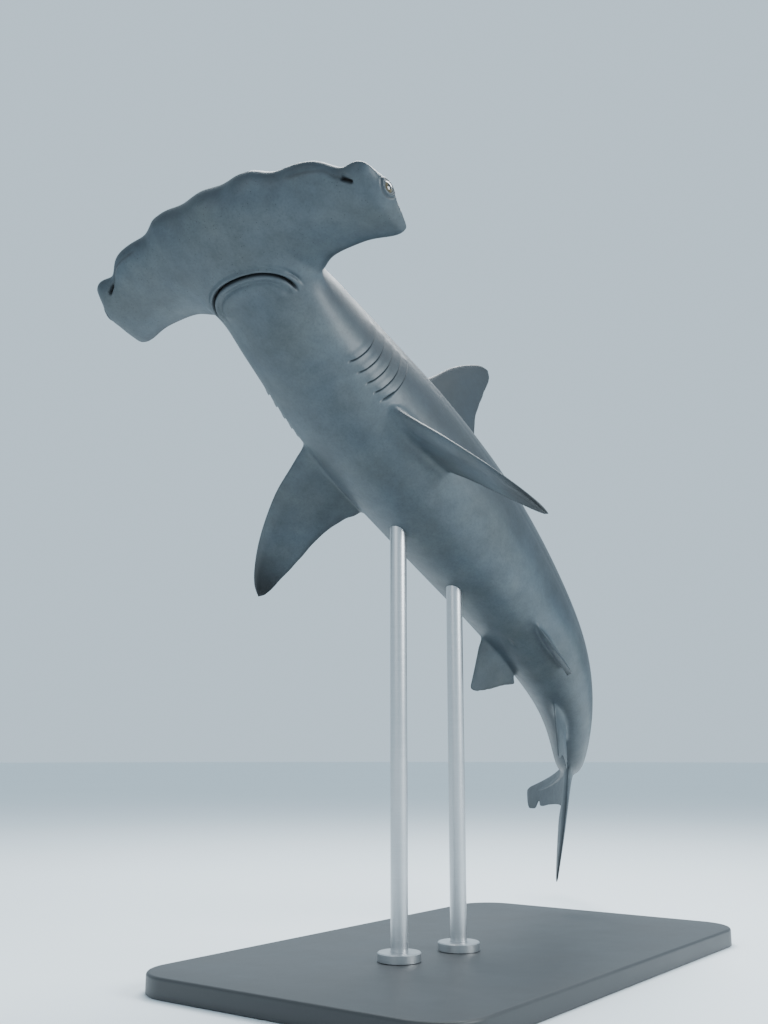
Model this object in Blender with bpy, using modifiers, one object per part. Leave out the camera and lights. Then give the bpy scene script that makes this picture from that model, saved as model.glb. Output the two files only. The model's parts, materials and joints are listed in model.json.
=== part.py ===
"""Scalloped hammerhead shark at life size, held in a climbing turn by a plate and two rods.

World axes: +Z up, the shark heads towards -Y, its left side faces +X. The origin is the middle
of the base plate's underside. The body is first laid out straight, nose at the origin, then bent
along its spine and set at its climb and bank.
"""
import math

import bpy
import bmesh
import numpy as np
from mathutils import Vector
from mathutils.bvhtree import BVHTree

# Driving sizes in metres
TOTAL_LENGTH = 2.50
GAP = 0.0003
SKIN_OFFSET = 1.15 * GAP

# Pose of the whole animal: nose in the world, climb and bank in degrees (left side high)
NOSE = (-0.047, -0.849, 1.490)
CLIMB = 31.9
BANK = 9.6

# Bends of the spine: start and length as fractions of the total length,
# then the turn to the right and the droop in degrees
BENDS = (
    (0.100, 0.180, -7.8, 0.0),
    (0.280, 0.250, 7.0, 0.0),
    (0.508, 0.242, 26.7, 0.0),
    (0.720, 0.260, 19.5, 0.0),
    (0.120, 0.250, 0.0, 3.5),
    (0.400, 0.320, 0.0, 8.8),
)

# All lengths from here to the stand are fractions of the total length
HEAD_HALF = 0.1405
NECK_STATION = 0.1033
NECK_HALF = 0.0488

# Trunk: stations behind the nose, half width, back height and belly depth
STATIONS = (0.09, 0.1033, 0.13, 0.20, 0.28, 0.36, 0.46, 0.56, 0.64, 0.70, 0.74, 0.80, 0.88, 0.97)
HALF_WIDTH = (0.0480, 0.0482, 0.0482, 0.0536, 0.0565, 0.0553, 0.0490, 0.0398, 0.0282, 0.0196,
              0.0136, 0.0068, 0.0036, 0.0010)
BACK = (0.0350, 0.0420, 0.0520, 0.0630, 0.0685, 0.0670, 0.0590, 0.0445, 0.0310, 0.0215,
        0.0155, 0.0078, 0.0040, 0.0010)
BELLY = (0.0330, 0.0370, 0.0425, 0.0540, 0.0620, 0.0610, 0.0540, 0.0430, 0.0305, 0.0210,
         0.0150, 0.0070, 0.0036, 0.0010)
RING_STATIONS = (0.124, 0.148, 0.172, 0.196, 0.222, 0.25, 0.28, 0.312, 0.346, 0.38, 0.42, 0.46,
                 0.50, 0.54, 0.58, 0.62, 0.652, 0.682, 0.708, 0.732, 0.762, 0.80, 0.85,
                 0.90, 0.94)
RING = 16
# A smoothed ring lies this much inside its cage
RING_SHRINK = (2 + math.cos(2 * math.pi / RING)) / 3

# How far the section bulges towards a square between its four sides
SQUARENESS = 0.045
# Where the core turns up into the tail fin: start of the slope, then start and length of its easing
TAIL_SLOPE_START = 0.715
TAIL_SLOPE_EASE = (0.70, 0.08)

# Cuts that part the body into nodes
HEAD_CUT = 0.148
TAIL_CUT = 0.500
CAUDAL_CUT = 0.716

# Head: columns across each wing as fractions of the half width, rows along the chord
WING_COLUMNS = (0.40, 0.46, 0.54, 0.63, 0.72, 0.80, 0.87, 0.94, 1.0)
CHORD_ROWS = (0.0, 0.06, 0.18, 0.34, 0.52, 0.70, 0.87, 1.0)
# Scalloped front margin: places across the half width, and how far each lies behind the nose
FRONT_PLACES = (0.0, 0.135, 0.21, 0.28, 0.35, 0.45, 0.53, 0.63, 0.72, 0.80, 0.87, 0.94, 1.0)
FRONT_MARGIN = (0.0, 0.0030, 0.0012, 0.0013, 0.0036, 0.0110, 0.0117, 0.0136, 0.0182, 0.0282,
                0.0286, 0.0300, 0.0370)
REAR_PLACES = (0.352, 0.39, 0.43, 0.52, 0.72, 0.80, 0.90, 0.96, 1.0)
REAR_MARGIN = (0.1033, 0.0985, 0.0928, 0.0893, 0.0893, 0.0915, 0.0948, 0.0945, 0.0900)
# How much the wing's end is rounded, seen from above
TIP_ROUNDING = 0.035
# Half thickness across the head, and its share along the chord on the wings and before the neck
THICKNESS_PLACES = (0.0, 0.35, 0.70, 0.90, 1.0)
HALF_THICKNESS = (0.0285, 0.0225, 0.0150, 0.0128, 0.0118)
WING_PROFILE = (0.0, 0.52, 0.82, 1.0, 0.99, 0.83, 0.50, 0.0)
NECK_PROFILE = (0.0, 0.55, 0.83, 0.97, 1.0, 1.0, 1.0, 1.0)
UNDERSIDE_FLATNESS = 0.92
# How much lower the wing's end lies than its root
WING_DROOP = 0.004
# How late along the chord the head's thickness turns into the neck's
NECK_BLEND = 2.4
# The smoothing draws the outer edges in, so the cage reaches out by this share of its first row
EDGE_OVERSHOOT = 0.4

# Eyes and mouth
EYE_RADIUS = 0.0078
EYE_INSET = 0.0086
EYE_STATION = 0.057
EYE_DROP = 0.0035
EYE_HEIGHT = 0.94
# How far the gaze of an eye turns ahead and up of straight out
GAZE_AHEAD = 0.10
GAZE_UP = 0.02
# Lid: radius of its ring, its place outward, its height and its thickness, in eyeball radii
LID_RING = 0.80
LID_OUT = 0.62
LID_HEIGHT = 0.88
LID_THICKNESS = 0.20
MOUTH_FRONT = 0.063
MOUTH_HALF = 0.037
MOUTH_DEPTH = 0.030
# Lips: distance from the mouth's line, which is a fraction of the length, and radii in metres
LIP_OFFSET = 0.0030
UPPER_LIP_RADIUS = 0.0055
LOWER_LIP_RADIUS = 0.0050
LIP_POINTS = 13
LIP_FLATNESS = 0.8
# The groove between the lips, in metres, with its depth in radii and its share beyond the lips
MOUTH_LINE_RADIUS = 0.0045
MOUTH_LINE_DEPTH = 2.4
MOUTH_LINE_SPREAD = 1.03
MOUTH_LINE_POINTS = 15
# How far out of the skin a cutting tube's middle lies, in metres
CUT_LIFT = 0.001

# Nostrils: places across the half width, distance behind the front margin and slant, radii in metres
NOSTRIL_PLACES = (0.795, 0.815, 0.835, 0.855)
NOSTRIL_INSET = 0.0045
NOSTRIL_SLANT = 0.10
NOSTRIL_RADII = (0.0030, 0.0055, 0.0055, 0.0030)
NOSTRIL_DEPTH = 2.0
# The groove that leads to each nostril
GROOVE_START = 0.50
GROOVE_INSET = 0.0042
GROOVE_RADII = (0.0022, 0.0040)
GROOVE_POINTS = 7

# Gill slits: stations along the flank, and how far they reach below and above the side line
GILL_STATIONS = (0.1660, 0.1785, 0.1905, 0.2015, 0.2115)
GILL_LOW = -38.0
GILL_HIGH = 24.0
GILL_BOW = 0.004
GILL_SLANT = 0.006
GILL_STEPS = 5
# Flap before each slit: its length, which is a fraction of the total, and its heights in metres
FLAP_LENGTH = 0.0065
FLAP_ROOT_DEPTH = 0.0020
FLAP_LIFT = 0.0045
FLAP_DEPTH = 0.0060
# Slit, in metres: its width, its depth, how far it reaches out of the skin and under the flap
SLIT_WIDTH = 0.0036
SLIT_DEPTH = 0.0090
SLIT_REACH = 0.0100
SLIT_UNDERCUT = 0.0010
SLIT_START = 0.0006

# Fin sections: shares of the chord behind the front edge, and of the half thickness there
FIN_CHORD = (0.05, 0.22, 0.55, 1.0)
FIN_PROFILE = (0.55, 1.0, 0.72, 0.0)
FIN_PLACES = (-0.16, 0.0, 0.06, 0.13, 0.22, 0.36, 0.52, 0.68, 0.82, 0.92, 0.97, 1.0)
FIN_TAPER = 0.80
ROOT_FLARE = 0.6
ROOT_FLARE_REACH = 0.05
# Half thickness of a fin's rear edge and near its tip, in metres
FIN_EDGE_HALF = 0.0004
FIN_TIP_HALF = 0.0016
BACKWARD = np.array([-1.0, 0.0, 0.0])

# Each fin's thickness, the place of its root as shares of the trunk's half width and of its back
# height or belly depth, and its front and rear edges: places along its span, offsets back from its root
PECTORAL_STATION = 0.2177
PECTORAL_ROOT = (0.80, -0.55)
PECTORAL_HEIGHT = 0.134
PECTORAL_THICKNESS = 0.0125
PECTORAL_CURVE = 0.006
PECTORAL_LEAD = ((0, 0.19, 0.37, 0.53, 0.72, 0.86, 0.93, 0.985, 1.0),
                 (0.002, 0.0120, 0.0210, 0.0325, 0.0495, 0.0660, 0.0765, 0.0878, 0.0930))
PECTORAL_TRAIL = ((0, 0.06, 0.12, 0.18, 0.35, 0.60, 0.77, 0.925, 1.0),
                  (0.062, 0.0930, 0.0885, 0.0845, 0.0830, 0.0888, 0.0933, 0.0972, 0.0968))
# Slant below level and swing towards the tail, in degrees
PECTORAL_SET = {"right": (29.0, 0.0), "left": (38.0, 13.0)}

PELVIC_STATION = 0.4844
PELVIC_ROOT = (0.55, -0.75)
PELVIC_HEIGHT = 0.045
PELVIC_THICKNESS = 0.0075
PELVIC_DROOP = 55.0
PELVIC_LEAD = ((0, 1.0), (0, 0.039))
PELVIC_TRAIL = ((0, 0.07, 0.14, 0.28, 0.65, 0.92, 1.0),
                (0.0690, 0.0800, 0.0785, 0.0725, 0.0600, 0.0490, 0.0440))

DORSAL_STATION = 0.2516
DORSAL_ROOT = 0.96
DORSAL_HEIGHT = 0.1175
DORSAL_THICKNESS = 0.0125
DORSAL_LEAN = 12.0
DORSAL_LEAD = ((0, 0.18, 0.37, 0.64, 0.87, 0.97, 1.0),
               (0, 0.020, 0.0375, 0.0535, 0.0730, 0.0850, 0.0925))
DORSAL_TRAIL = ((0, 0.08, 0.16, 0.36, 0.55, 0.78, 0.90, 0.97, 1.0),
                (0.095, 0.131, 0.129, 0.1125, 0.1035, 0.1012, 0.1005, 0.0985, 0.0960))

SECOND_DORSAL_STATION = 0.6250
SECOND_DORSAL_ROOT = 0.90
SECOND_DORSAL_HEIGHT = 0.029
SECOND_DORSAL_THICKNESS = 0.0060
SECOND_DORSAL_LEAD = ((0, 1.0), (0, 0.022))
SECOND_DORSAL_TRAIL = ((0, 0.22, 0.34, 0.60, 1.0), (0.030, 0.074, 0.070, 0.046, 0.027))
ANAL_STATION = 0.6000
ANAL_ROOT = -0.90
ANAL_HEIGHT = 0.040
ANAL_THICKNESS = 0.0065
ANAL_LEAD = ((0, 1.0), (0, 0.040))
ANAL_TRAIL = ((0, 0.18, 0.30, 0.60, 1.0), (0.062, 0.094, 0.088, 0.058, 0.047))

# Caudal fin: each lobe's root, angle from the spine, length, thickness and edges
UPPER_ROOT = (-0.722, 0.0, 0.012)
UPPER_ANGLE = 32.9
UPPER_LENGTH = 0.3034
UPPER_THICKNESS = 0.0110
UPPER_LEAD = ((0, 0.4, 1.0), (-0.012, -0.010, -0.005))
UPPER_TRAIL = ((0, 0.15, 0.35, 0.60, 0.75, 0.785, 0.815, 0.90, 1.0),
               (0.050, 0.060, 0.042, 0.031, 0.027, 0.019, 0.028, 0.026, 0.004))
UPPER_PLACES = (0.0, 0.08, 0.16, 0.25, 0.36, 0.48, 0.60, 0.70, 0.755, 0.785, 0.815, 0.86, 0.92,
                0.97, 1.0)
LOWER_ROOT = (-0.722, 0.0, -0.008)
LOWER_ANGLE = 56.5
LOWER_LENGTH = 0.1219
LOWER_THICKNESS = 0.0090
# How far the lower lobe's tip bends aside, and how far the lobe twists, in degrees, within this share
LOWER_CURVE = 0.0032
LOWER_TWIST = 8.0
TWIST_REACH = 0.5
LOWER_LEAD = ((0, 0.5, 1.0), (-0.008, -0.005, 0.004))
LOWER_TRAIL = ((0, 0.35, 0.70, 0.93, 1.0), (0.075, 0.046, 0.030, 0.016, 0.009))
LOWER_PLACES = (0.0, 0.12, 0.26, 0.42, 0.58, 0.74, 0.87, 0.95, 1.0)

# Stand, in metres
BASE_LENGTH = 1.30
BASE_WIDTH = 0.76
BASE_THICKNESS = 0.040
BASE_CORNER = 0.10
BASE_RIM = 0.006
ROD_RADIUS = 0.018
ROD_SIDES = 20
COLLAR_RADIUS = 0.045
COLLAR_HEIGHT = 0.018
ROD_STATIONS = {"front": 0.285, "rear": 0.372}

# Levels of the body's smoothing
LEVELS = 1
# A short step along the spine, as a fraction of the length, for the direction there
SMALL_STEP = 0.001


def ease(t):
    """Smooth step from 0 to 1."""
    t = np.clip(t, 0.0, 1.0)
    return t * t * (3 - 2 * t)


def through(x, places, values):
    """Smooth curve through a few stations that never overshoots them."""
    places = np.asarray(places, float)
    values = np.asarray(values, float)
    step = np.diff(places)
    rise = np.diff(values) / step
    slope = np.zeros(len(places))
    slope[0] = rise[0]
    slope[-1] = rise[-1]
    for i in range(1, len(places) - 1):
        if rise[i - 1] * rise[i] > 0:
            near = 2 * step[i] + step[i - 1]
            far = step[i] + 2 * step[i - 1]
            slope[i] = (near + far) / (near / rise[i - 1] + far / rise[i])
    x = np.clip(x, places[0], places[-1])
    k = np.clip(np.searchsorted(places, x, side="right") - 1, 0, len(step) - 1)
    t = (x - places[k]) / step[k]
    start = (1 + 2 * t) * (1 - t) ** 2 * values[k] + t * (1 - t) ** 2 * step[k] * slope[k]
    end = t * t * (3 - 2 * t) * values[k + 1] + t * t * (t - 1) * step[k] * slope[k + 1]
    return start + end


def spine_angles(s):
    """Heading to the right and droop, in radians, at station s."""
    turn = np.zeros_like(s)
    droop = np.zeros_like(s)
    for start, length, right, down in BENDS:
        part = ease((s - start) / length)
        turn = turn + math.radians(right) * part
        droop = droop + math.radians(down) * part
    return turn, droop


def forward(turn, droop):
    """Unit vectors along the spine towards the nose."""
    return np.stack([np.cos(turn) * np.cos(droop), np.sin(turn) * np.cos(droop), np.sin(droop)], 1)


# Stations along the spine, a thousandth of the length apart
SPINE = np.linspace(-0.06, 1.12, 1181)
SPINE_FORWARD = forward(*spine_angles(SPINE))
SPINE_STEPS = (SPINE_FORWARD[1:] + SPINE_FORWARD[:-1]) / 2 * np.diff(SPINE)[:, None]
SPINE_PATH = -np.vstack([np.zeros(3), np.cumsum(SPINE_STEPS, axis=0)])
SPINE_PATH = SPINE_PATH - [np.interp(0.0, SPINE, SPINE_PATH[:, k]) for k in range(3)]


def world_axes():
    """Columns: the animal's forward, left and up in the world."""
    climb = math.radians(CLIMB)
    bank = math.radians(BANK)
    ahead = np.array([0.0, -math.cos(climb), math.sin(climb)])
    level_left = np.array([1.0, 0.0, 0.0])
    level_up = np.cross(ahead, level_left)
    left = level_left * math.cos(bank) + level_up * math.sin(bank)
    up = level_up * math.cos(bank) - level_left * math.sin(bank)
    return np.stack([ahead, left, up], 1)


AXES = world_axes()


def posed(points):
    """Straight-body points (x ahead, y left, z up, metres) bent along the spine, in the world."""
    points = np.asarray(points, float) / TOTAL_LENGTH
    s = -points[:, 0]
    turn, droop = spine_angles(s)
    centre = np.stack([np.interp(s, SPINE, SPINE_PATH[:, k]) for k in range(3)], 1)
    left = np.stack([-np.sin(turn), np.cos(turn), 0 * turn], 1)
    up = np.stack([-np.sin(droop) * np.cos(turn), -np.sin(droop) * np.sin(turn), np.cos(droop)], 1)
    bent = centre + points[:, 1:2] * left + points[:, 2:3] * up
    return bent @ AXES.T * TOTAL_LENGTH + np.array(NOSE)


def straight(s, y, z):
    """Straight-body point in metres from fractions of the length."""
    return np.array([-s, y, z]) * TOTAL_LENGTH


def section(s, angle):
    """Point of the trunk's outline and its outward normal, at station s and angle from the left."""
    width = float(through(s, STATIONS, HALF_WIDTH))
    height = float(through(s, STATIONS, BACK if math.sin(angle) > 0 else BELLY))
    square = 1 + SQUARENESS * math.sin(2 * angle) ** 2
    y = width * math.cos(angle) * square
    z = height * math.sin(angle) * square + tail_rise(s)
    normal = Vector((0.0, height * math.cos(angle), width * math.sin(angle))).normalized()
    return straight(s, y, z), np.array(normal)


def tail_rise(s):
    """Height of the spine's core above the straight axis, where it turns up into the tail fin."""
    start, length = TAIL_SLOPE_EASE
    slope = math.tan(math.radians(UPPER_ANGLE)) * float(ease((s - start) / length))
    return max(s - TAIL_SLOPE_START, 0.0) * slope


def front_margin(u):
    """Station of the head's front margin at a fraction u of the half width."""
    return float(through(abs(u), FRONT_PLACES, FRONT_MARGIN))


def rear_margin(u):
    """Station of the wing's rear margin."""
    return float(through(abs(u), REAR_PLACES, REAR_MARGIN))


def overshoot(margin, columns, i):
    """Margin at a column, pushed away from its neighbours as far as the smoothing pulls it back."""
    u = columns[i]
    if i == 0 or i == len(columns) - 1:
        return margin(u)
    return margin(u) + (2 * margin(u) - margin(columns[i - 1]) - margin(columns[i + 1])) / 4


def wing_thickness(u):
    """Half thickness of the head across its width."""
    return float(through(abs(u), THICKNESS_PLACES, HALF_THICKNESS))


def head_point(u, v, side, ring_angle, front, rear):
    """Cage point of the head at column u and row v; side is 1 on top and -1 below.

    Columns that run on into the neck have an angle on its ring, and the others have none.
    """
    wing_half = wing_thickness(u)
    depth = rear - front
    s = front + depth * v
    if v == 0:
        s -= depth * EDGE_OVERSHOOT * CHORD_ROWS[1]
    if v == 1 and ring_angle is None:
        s += depth * EDGE_OVERSHOOT * (1 - CHORD_ROWS[-2])
    y = u * HEAD_HALF * (1 - TIP_ROUNDING * (2 * v - 1) ** 2 * abs(u) ** 6)
    z = wing_half * float(through(v, CHORD_ROWS, WING_PROFILE))
    if ring_angle is not None and 0 < ring_angle < math.pi:
        edge = wing_half * float(through(v, CHORD_ROWS, NECK_PROFILE))
        height = float(through(NECK_STATION, STATIONS, BACK if side > 0 else BELLY))
        ring = height * math.sin(ring_angle) / RING_SHRINK
        blend = v ** NECK_BLEND
        z = edge * (1 - blend) + ring * blend
    elif side < 0:
        z *= UNDERSIDE_FLATNESS
    return straight(s, y, side * z + wing_droop(u))


def wing_droop(u):
    """Height of the wing's middle surface, a little lower towards its end."""
    return -WING_DROOP * u * u


def body_cage():
    """Coarse closed cage of the head, trunk and the core of the tail."""
    mesh = bmesh.new()
    half_ring = RING // 2
    neck_u = NECK_HALF / HEAD_HALF
    angles = [math.pi * k / half_ring for k in range(half_ring + 1)]
    columns = list(reversed(WING_COLUMNS)) + [neck_u * math.cos(a) for a in angles]
    columns += [-u for u in WING_COLUMNS]
    ring_angles = [None] * len(WING_COLUMNS) + angles + [None] * len(WING_COLUMNS)
    last_row = len(CHORD_ROWS) - 1
    last_column = len(columns) - 1
    grid = {}
    for i, (u, ring_angle) in enumerate(zip(columns, ring_angles)):
        front = overshoot(front_margin, columns, i)
        rear = NECK_STATION if ring_angle is not None else rear_margin(u)
        open_end = ring_angle is not None and 0 < ring_angle < math.pi
        for j, v in enumerate(CHORD_ROWS):
            shared = i in (0, last_column) or j == 0 or (j == last_row and not open_end)
            for side in (1, -1):
                if side == -1 and shared:
                    grid[side, i, j] = grid[1, i, j]
                    continue
                point = head_point(u, v, side, ring_angle, front, rear)
                if shared:
                    point[2] = wing_droop(u) * TOTAL_LENGTH
                grid[side, i, j] = mesh.verts.new(point)
    for i in range(last_column):
        for j in range(last_row):
            for side in (1, -1):
                corners = [grid[side, a, b] for a, b in ((i, j), (i + 1, j), (i + 1, j + 1), (i, j + 1))]
                corners = list(dict.fromkeys(corners))
                mesh.faces.new(corners if side > 0 else corners[::-1])
    first = len(WING_COLUMNS)
    ring = [grid[1, first + k, last_row] for k in range(half_ring + 1)]
    ring += [grid[-1, first + k, last_row] for k in range(half_ring - 1, 0, -1)]
    for s in RING_STATIONS:
        new_ring = []
        for k in range(RING):
            angle = 2 * math.pi * k / RING
            point, _ = section(s, angle)
            centre = straight(s, 0.0, tail_rise(s))
            new_ring.append(mesh.verts.new(centre + (point - centre) / RING_SHRINK))
        for k in range(RING):
            m = (k + 1) % RING
            mesh.faces.new((ring[k], ring[m], new_ring[m], new_ring[k]))
        ring = new_ring
    mesh.faces.new(ring)
    bmesh.ops.recalc_face_normals(mesh, faces=mesh.faces)
    return mesh


def new_object(name, collection):
    """Empty mesh object linked to a collection."""
    thing = bpy.data.objects.new(name, bpy.data.meshes.new(name))
    collection.objects.link(thing)
    return thing


def evaluated_mesh(thing):
    """Mesh of an object with its modifiers applied."""
    bpy.context.view_layer.update()
    graph = bpy.context.evaluated_depsgraph_get()
    return bpy.data.meshes.new_from_object(thing.evaluated_get(graph))


def smooth_body(collection, name, levels, bent):
    """The body's skin from its cage, straight or posed."""
    cage = body_cage()
    thing = new_object(name, collection)
    cage.to_mesh(thing.data)
    cage.free()
    if bent:
        pose_mesh(thing.data)
    smoothing = thing.modifiers.new("smooth", "SUBSURF")
    smoothing.levels = levels
    smoothing.render_levels = levels
    mesh = evaluated_mesh(thing)
    thing.modifiers.clear()
    thing.data = mesh
    return thing


def pose_mesh(mesh):
    """Bend and place a mesh that was laid out on the straight body."""
    points = np.empty(len(mesh.vertices) * 3)
    mesh.vertices.foreach_get("co", points)
    mesh.vertices.foreach_set("co", posed(points.reshape(-1, 3)).ravel())
    mesh.update()


def loft(name, collection, rings, pose=True):
    """Closed body through equal rings of points, capped at both ends."""
    mesh = bmesh.new()
    rows = [[mesh.verts.new(point) for point in ring] for ring in rings]
    count = len(rows[0])
    for a, b in zip(rows, rows[1:]):
        for k in range(count):
            m = (k + 1) % count
            mesh.faces.new((a[k], a[m], b[m], b[k]))
    mesh.faces.new(rows[0][::-1])
    mesh.faces.new(rows[-1])
    bmesh.ops.triangulate(mesh, faces=[f for f in mesh.faces if len(f.verts) > 3])
    bmesh.ops.recalc_face_normals(mesh, faces=mesh.faces)
    thing = new_object(name, collection)
    mesh.to_mesh(thing.data)
    mesh.free()
    if pose:
        pose_mesh(thing.data)
    return thing


def boolean(thing, operation, collection):
    """Join or cut with all objects of a collection, then drop them."""
    modifier = thing.modifiers.new(operation.lower(), "BOOLEAN")
    modifier.operation = operation
    modifier.operand_type = "COLLECTION"
    modifier.collection = collection
    mesh = evaluated_mesh(thing)
    thing.modifiers.clear()
    thing.data = mesh
    for used in list(collection.objects):
        bpy.data.objects.remove(used)
    keep_largest(thing.data)


def keep_largest(mesh):
    """Keep only the closed surface of the largest volume."""
    work = bmesh.new()
    work.from_mesh(mesh)
    seen = set()
    shells = []
    for start in work.faces:
        if start in seen:
            continue
        shell = []
        stack = [start]
        seen.add(start)
        while stack:
            face = stack.pop()
            shell.append(face)
            for edge in face.edges:
                for other in edge.link_faces:
                    if other not in seen:
                        seen.add(other)
                        stack.append(other)
        shells.append(shell)
    shells.sort(key=shell_volume)
    for shell in shells[:-1]:
        verts = {v for f in shell for v in f.verts}
        bmesh.ops.delete(work, geom=list(verts), context="VERTS")
    bmesh.ops.triangulate(work, faces=[f for f in work.faces if len(f.verts) > 4])
    work.to_mesh(mesh)
    work.free()


def shell_volume(faces):
    """Volume enclosed by a closed set of faces."""
    total = 0.0
    for face in faces:
        first = face.verts[0].co
        for a, b in zip(face.verts[1:], face.verts[2:]):
            total += first.dot(a.co.cross(b.co)) / 6
    return abs(total)


def grown_copy(thing, collection, distance):
    """Copy with its surface moved out by a distance."""
    mesh = thing.data.copy()
    normals = [v.normal.copy() for v in mesh.vertices]
    for vertex, normal in zip(mesh.vertices, normals):
        vertex.co = vertex.co + normal * distance
    copy = bpy.data.objects.new(thing.name + "_grown", mesh)
    collection.objects.link(copy)
    return copy


def slice_body(body, name, collection, start, end):
    """Length of the body between two stations, closed by flat faces, half a gap short of each."""
    work = bmesh.new()
    work.from_mesh(body.data)
    for station, keep_behind in ((start, True), (end, False)):
        if station is None:
            continue
        shift = GAP / 2 if keep_behind else -GAP / 2
        middle = posed([straight(station, 0, 0)])[0]
        near = posed([straight(station - SMALL_STEP, 0, 0)])[0]
        normal = Vector(middle - near).normalized()
        geom = list(work.verts) + list(work.edges) + list(work.faces)
        cut = bmesh.ops.bisect_plane(
            work, geom=geom, plane_co=Vector(middle) + normal * shift, plane_no=normal, dist=1e-7,
            clear_inner=keep_behind, clear_outer=not keep_behind)
        edges = [e for e in cut["geom_cut"] if isinstance(e, bmesh.types.BMEdge)]
        bmesh.ops.contextual_create(work, geom=edges)
    bmesh.ops.recalc_face_normals(work, faces=work.faces)
    thing = new_object(name, collection)
    work.to_mesh(thing.data)
    work.free()
    return thing


def tube(name, collection, points, normals, radii, flatten=1.0, sides=6):
    """Tapered tube along a path that lies on a surface with the given normals."""
    points = np.asarray(points)
    rings = []
    for i, centre in enumerate(points):
        ahead = points[min(i + 1, len(points) - 1)] - points[max(i - 1, 0)]
        ahead = ahead / np.linalg.norm(ahead)
        across = np.cross(ahead, normals[i])
        across = across / np.linalg.norm(across)
        out = np.cross(across, ahead)
        ring = []
        for k in range(sides):
            angle = 2 * math.pi * (k + 0.5) / sides
            ring.append(centre + radii[i] * (math.cos(angle) * across + flatten * math.sin(angle) * out))
        rings.append(ring)
    return loft(name, collection, rings)


def surface_point(skin, s, y, direction):
    """Where a ray from outside meets the straight body, with the surface normal there."""
    start = Vector(straight(s, y, 0.0)) - Vector(direction) * TOTAL_LENGTH * 0.3
    hit, normal, _, _ = skin.ray_cast(start, Vector(direction))
    return np.array(hit), np.array(normal)


UPWARD = (0.0, 0.0, 1.0)


def mouth_path(offset, spread, count):
    """Stations and sides along the arch of the mouth, moved out from it by an offset."""
    path = []
    for i in range(count):
        a = spread * (2 * i / (count - 1) - 1)
        half = MOUTH_HALF + offset
        path.append((MOUTH_FRONT - offset + MOUTH_DEPTH * a * a, half * math.sin(a * math.pi / 2)))
    return path


def mouth_parts(skin, joins, cuts):
    """Lips along the arch of the mouth, and the groove between them."""
    for label, offset, radius in (("upper_lip", LIP_OFFSET, UPPER_LIP_RADIUS),
                                  ("lower_lip", -LIP_OFFSET, LOWER_LIP_RADIUS)):
        path = mouth_path(offset, 1.0, LIP_POINTS)
        hits = [surface_point(skin, s, y, UPWARD) for s, y in path]
        radii = tapered(radius, 0.35, 2.5, LIP_POINTS)
        tube(label, joins, [h[0] for h in hits], [h[1] for h in hits], radii, LIP_FLATNESS)
    path = mouth_path(0.0, MOUTH_LINE_SPREAD, MOUTH_LINE_POINTS)
    hits = [surface_point(skin, s, y, UPWARD) for s, y in path]
    centres = [h[0] + h[1] * CUT_LIFT for h in hits]
    radii = tapered(MOUTH_LINE_RADIUS, 0.45, 3.0, MOUTH_LINE_POINTS)
    tube("mouth_line", cuts, centres, [h[1] for h in hits], radii, MOUTH_LINE_DEPTH)


def tapered(radius, end_share, reach, count):
    """Radii along a tube that narrows to a share of its radius over a few points at each end."""
    last = count - 1
    return [radius * (end_share + (1 - end_share) * float(ease(min(i, last - i) / reach)))
            for i in range(count)]


def nostril_parts(skin, cuts, side):
    """Slanting nostril by the notch near the wing's end, and the groove that leads to it."""
    path = []
    for u in NOSTRIL_PLACES:
        station = front_margin(u) + NOSTRIL_INSET + NOSTRIL_SLANT * (u - NOSTRIL_PLACES[0])
        path.append((station, side * u * HEAD_HALF))
    hits = [surface_point(skin, s, y, UPWARD) for s, y in path]
    centres = [h[0] + h[1] * CUT_LIFT for h in hits]
    tube("nostril", cuts, centres, [h[1] for h in hits], NOSTRIL_RADII, NOSTRIL_DEPTH)
    path = []
    for u in np.linspace(GROOVE_START, NOSTRIL_PLACES[0], GROOVE_POINTS):
        path.append((front_margin(u) + GROOVE_INSET, side * u * HEAD_HALF))
    hits = [surface_point(skin, s, y, UPWARD) for s, y in path]
    centres = [h[0] + h[1] * CUT_LIFT for h in hits]
    tube("nostril_groove", cuts, centres, [h[1] for h in hits], np.linspace(*GROOVE_RADII, GROOVE_POINTS))


def eye_centre(side):
    """Middle of the eyeball, in the outer end of the wing."""
    y = side * (HEAD_HALF - EYE_INSET)
    return straight(EYE_STATION, y, -EYE_DROP)


def eye_parts(joins, sockets, eyes, side, label):
    """Lid around the eye, its socket and the eyeball."""
    radius = EYE_RADIUS * TOTAL_LENGTH
    centre = eye_centre(side)
    outward = np.array([GAZE_AHEAD, side, GAZE_UP])
    outward = outward / np.linalg.norm(outward)
    upward = np.array([0.0, 0.0, 1.0])
    ahead = np.cross(upward, outward)
    rings = []
    for a in np.linspace(0, 2 * math.pi, 16, endpoint=False):
        radial = math.cos(a) * ahead + LID_HEIGHT * math.sin(a) * upward
        middle = centre + radius * (LID_OUT * outward + LID_RING * radial)
        ring = []
        for b in np.linspace(0, 2 * math.pi, 6, endpoint=False):
            ring.append(middle + radius * LID_THICKNESS * (math.cos(b) * radial + math.sin(b) * outward))
        rings.append(ring)
    ring_loop("lid", joins, rings)
    for name, collection, size in (("socket", sockets, radius + SKIN_OFFSET),
                                   ("eye_" + label, eyes, radius)):
        work = bmesh.new()
        bmesh.ops.create_uvsphere(work, u_segments=14, v_segments=8, radius=size)
        for vertex in work.verts:
            x, y, z = vertex.co
            vertex.co = Vector(centre + x * ahead + y * upward * EYE_HEIGHT + z * outward)
        work.normal_update()
        bmesh.ops.recalc_face_normals(work, faces=work.faces)
        thing = new_object(name, collection)
        work.to_mesh(thing.data)
        work.free()
        pose_mesh(thing.data)


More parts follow.
